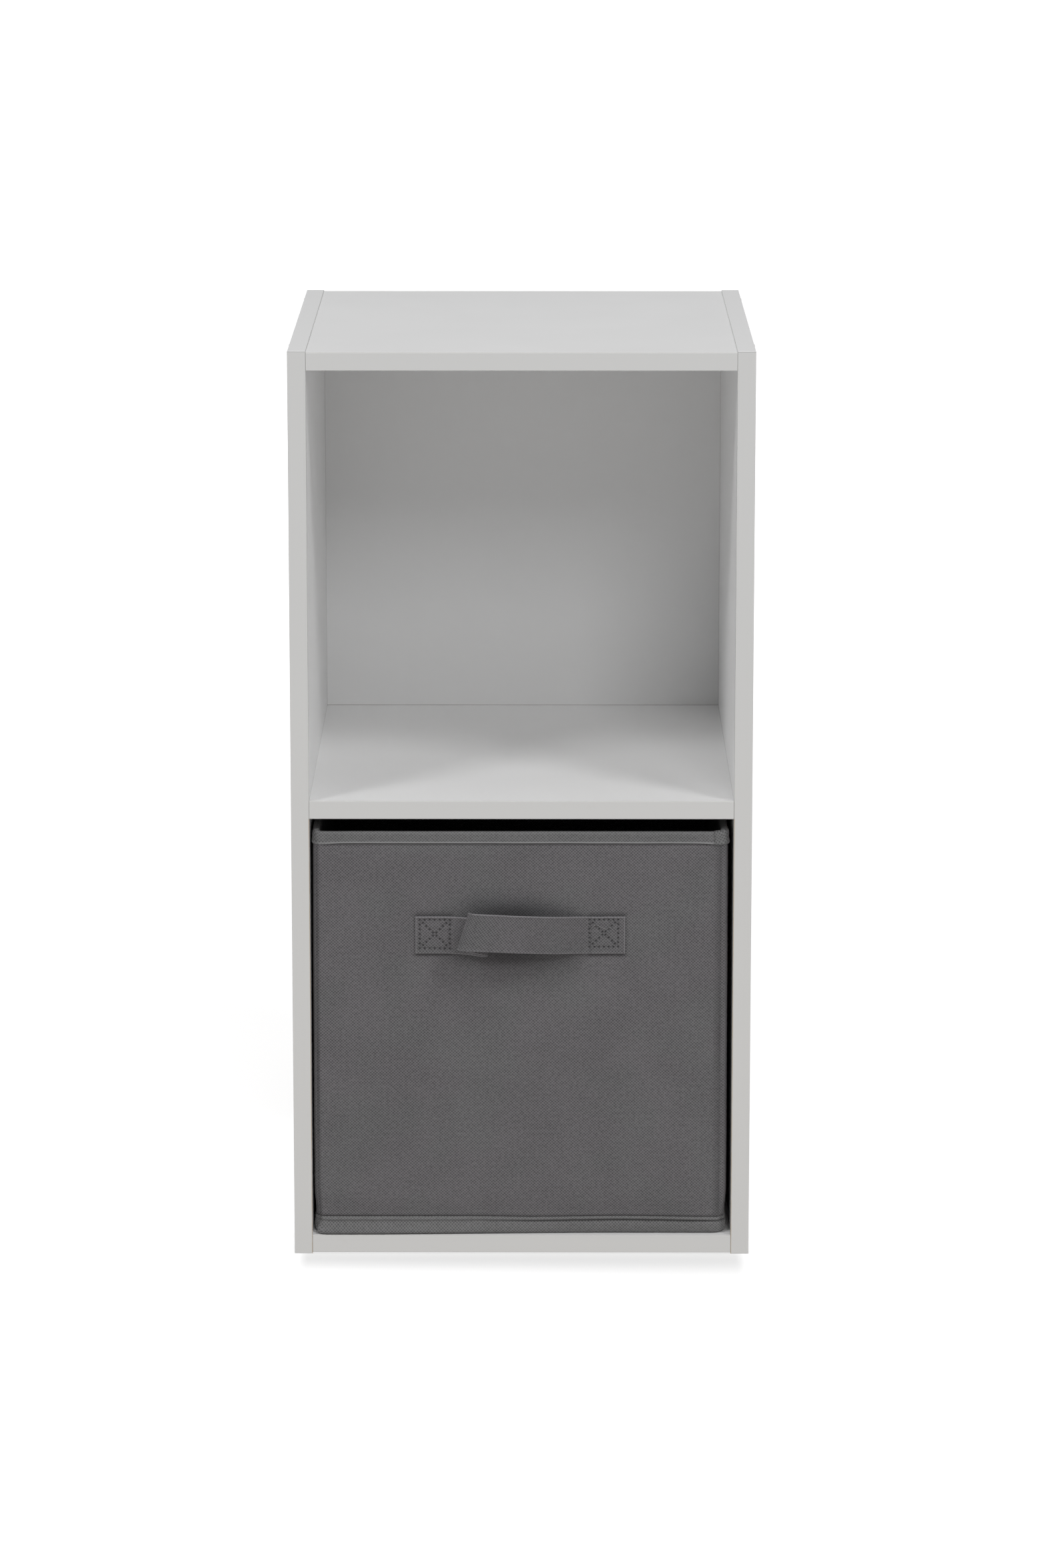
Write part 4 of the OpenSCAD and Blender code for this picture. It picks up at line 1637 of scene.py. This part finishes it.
@dataclass(frozen=True)
class BaseInsert:
    """The loose insert: a card in a cloth cover.

    Attributes:
        corner: how far the cover's corners are rounded.
        edge: how far its edges are rounded.
        cloth_t: thickness of the cloth.
    """

    corner: float = 3 * MM
    edge: float = 1.3 * MM
    cloth_t: float = 0.5 * MM

    def build(self, cloth: bpy.types.Material) -> None:
        """Makes the cover as a closed pocket round the card.

        Args:
            cloth: the finish.
        """
        low, high = span("insert_cover")
        size = high - low
        bm = block(low, high)
        upright = [edge for edge in bm.edges if abs(edge.verts[0].co.z - edge.verts[1].co.z) > size.z / 2]
        rounded(bm, upright, self.corner, 3)
        rounded(bm, [edge for edge in bm.edges if edge.calc_face_angle(0) > 1.2], self.edge, 3)
        bmesh.ops.recalc_face_normals(bm, faces=bm.faces)
        chart_by(bm, lambda vert: (vert.co.x, vert.co.y + vert.co.z))
        made = make_piece(
            "insert_cover_cloth", bm, cloth, Body.INSERT, ["insert_cover"], thickness=self.cloth_t
        )


@dataclass(frozen=True)
class Studio:
    """The floor, the lights and the camera.

    Attributes:
        eye: the camera's place.
        pitch: how far it looks down, in radians.
        yaw: how far it is turned to the left, in radians.
        lens: its focal length in millimetres.
        shift: how far the view is moved up, as a share of the picture's height.
        floor_light: how much light comes from below, off the bright floor.
        room_light: how much light comes from above and from the sides.
        floor_glow: how bright the floor is by itself.
        foot_glow: how bright it is right before the foot.
    """

    eye: Vector = Vector((0.0096, -3.3444, 1.0943))
    pitch: float = 0.1887
    yaw: float = 0.0028
    lens: float = 114.457
    shift: float = -0.15
    floor_light: float = 0.50
    room_light: float = 0.20
    floor_glow: float = 0.74
    foot_glow: float = 0.44

    def build(self) -> None:
        """Makes the studio."""
        bpy.context.scene.view_settings.view_transform = "Standard"
        self.make_camera()
        self.make_floor()
        self.make_surround()
        self.make_lights()

    def make_camera(self) -> None:
        """Makes the camera at the photograph's viewing angle."""
        data = bpy.data.cameras.new("camera")
        data.lens, data.sensor_width = self.lens, 36.0
        data.shift_y = self.shift
        data.clip_start, data.clip_end = 0.05, 60.0
        camera = bpy.data.objects.new("camera", data)
        camera.location = self.eye
        camera.rotation_euler = (math.pi / 2 - self.pitch, 0.0, self.yaw)
        bpy.context.scene.collection.objects.link(camera)
        bpy.context.scene.camera = camera

    def floor_finish(self) -> bpy.types.Material:
        """Returns the floor's material: bright, with a soft shade before the shelf and close under it."""
        shader = new_shader("pale_floor")
        left, right = span("left_side_panel")[0].x, span("right_side_panel")[1].x
        face = span("middle_shelf_front_band")[0].y
        place = shader.place()
        x, y, _ = shader.axes(place)
        ahead = (face - y) * (1 - x / (right - left) * 0.3)
        beside = (abs(x - (left + right) / 2) - (right - left) / 2).eased(-10 * MM, 1 * MM)
        front = (1 - ahead.eased(8 * MM, 52 * MM)) * (1 - beside) * (ahead + 1 * MM).over(0)
        touch = shader.node("ShaderNodeAmbientOcclusion", {"Distance": 4 * MM}, 1, samples=8)
        shade = shader.mixed(front.most((1 - touch) * 0.6), grey(self.floor_glow), grey(self.foot_glow))
        far = shader.node("ShaderNodeVectorMath", {0: place}, "Value", operation="LENGTH").eased(0.8, 2.5)
        return shader.finished(
            Base_Color=grey(0.5),
            Roughness=0.9,
            Specular_IOR_Level=0.1,
            Emission_Color=shader.mixed(far, shade, grey(1.0)),
            Emission_Strength=1.0,
        )

    def make_floor(self) -> None:
        """Makes a pale floor that turns up into a backdrop far behind."""
        reach, rear, bend, wall = 12, 6, 2, 8
        bm = bmesh.new()
        verts = [bm.verts.new((-reach, y, 0)) for y in (-reach, rear)]
        bm.edges.new(verts)
        hub = (-reach, rear, bend)
        turned = bmesh.ops.spin(bm, geom=verts[1:], cent=hub, axis=(1, 0, 0), angle=math.pi / 2, steps=12)
        top = [item for item in turned["geom_last"] if isinstance(item, bmesh.types.BMVert)]
        raised = bmesh.ops.extrude_vert_indiv(bm, verts=top)["verts"]
        bmesh.ops.translate(bm, vec=(0, 0, wall), verts=raised)
        made = bmesh.ops.extrude_edge_only(bm, edges=bm.edges)["geom"]
        moved = [item for item in made if isinstance(item, bmesh.types.BMVert)]
        bmesh.ops.translate(bm, vec=(2 * reach, 0, 0), verts=moved)
        bmesh.ops.recalc_face_normals(bm, faces=bm.faces)
        for face in bm.faces:
            face.smooth = True
        mesh = bpy.data.meshes.new("floor")
        bm.to_mesh(mesh)
        bm.free()
        mesh.materials.append(self.floor_finish())
        floor = bpy.data.objects.new("floor", mesh)
        bpy.context.scene.collection.objects.link(floor)
        floor.visible_diffuse = floor.visible_glossy = floor.visible_shadow = False

    def make_surround(self) -> None:
        """Makes the even light from all sides, stronger from the bright floor than from the room."""
        shader = Shader(bpy.data.worlds.new("surround"))
        up = shader.axes(shader.node("ShaderNodeTexCoord", output="Generated"))[2]
        light = shader.mixed(up.eased(-0.1, 0.1), grey(self.floor_light), grey(self.room_light))
        glow = shader.node("ShaderNodeBackground", {"Color": light})
        shader.node("ShaderNodeOutputWorld", {"Surface": glow})
        bpy.context.scene.world = shader.owner

    def make_lights(self) -> None:
        """Makes soft lamps: by the camera, high at both sides, above, behind, and a warm one low down."""
        top, face = span("top_panel")[0].z, span("middle_shelf")[0].y
        jamb = span("right_side_panel")[0].x
        front, beside = 3.9, 2.0
        place = (jamb + 0.17 * front, face - front, top + 0.61 * front)
        self.make_lamp("front_lamp", place, (1.3, 1.0), 37.0)
        for side in Side:
            place = (side.value * (jamb + 1.085 * beside), face - beside, top + 1.446 * beside)
            self.make_lamp(f"{side.name.lower()}_lamp", place, (0.95, 0.95), 41.5)
        self.make_lamp("top_lamp", (0.0, 0.1, 3.2), (1.6, 1.6), 17.0)
        self.make_lamp("rear_lamp", (-1.3, 3.0, 0.45), (1.4, 0.9), 14.0)
        self.make_lamp("floor_lamp", (0.0, face - 0.45, 0.02), (1.0, 0.3), 0.27, (1.0, 0.87, 0.72))

    def make_lamp(
        self, name: str, place: Colour, size: tuple[float, float], power: float, colour: Colour = grey(1.0)
    ) -> None:
        """Makes a soft lamp that faces the middle of the object.

        Args:
            name: its name.
            place: where it is.
            size: its width and height.
            power: its power in watts.
            colour: its colour.
        """
        data = bpy.data.lights.new(name, "AREA")
        data.shape = "RECTANGLE"
        data.size, data.size_y = size
        data.energy, data.color = power, colour
        lamp = bpy.data.objects.new(name, data)
        lamp.location = place
        lamp.visible_camera = False
        lamp.rotation_euler = (Vector((0, 0, 0.3)) - Vector(place)).to_track_quat("-Z", "Y").to_euler()
        bpy.context.scene.collection.objects.link(lamp)


def main() -> None:
    """Builds the pieces in order."""
    logging.basicConfig(level=logging.INFO, format="%(message)s")
    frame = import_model()
    Studio().build()
    Carcass(frame["nodes"]).build()
    card = CARD.build()
    for name in (*CARDS, "insert_board"):
        dress(frame["nodes"][name], card)
    ClothBox().build()
    BaseInsert().build(bpy.data.materials["box_cloth"])
    bpy.context.view_layer.update()


if __name__ == "__main__":
    main()
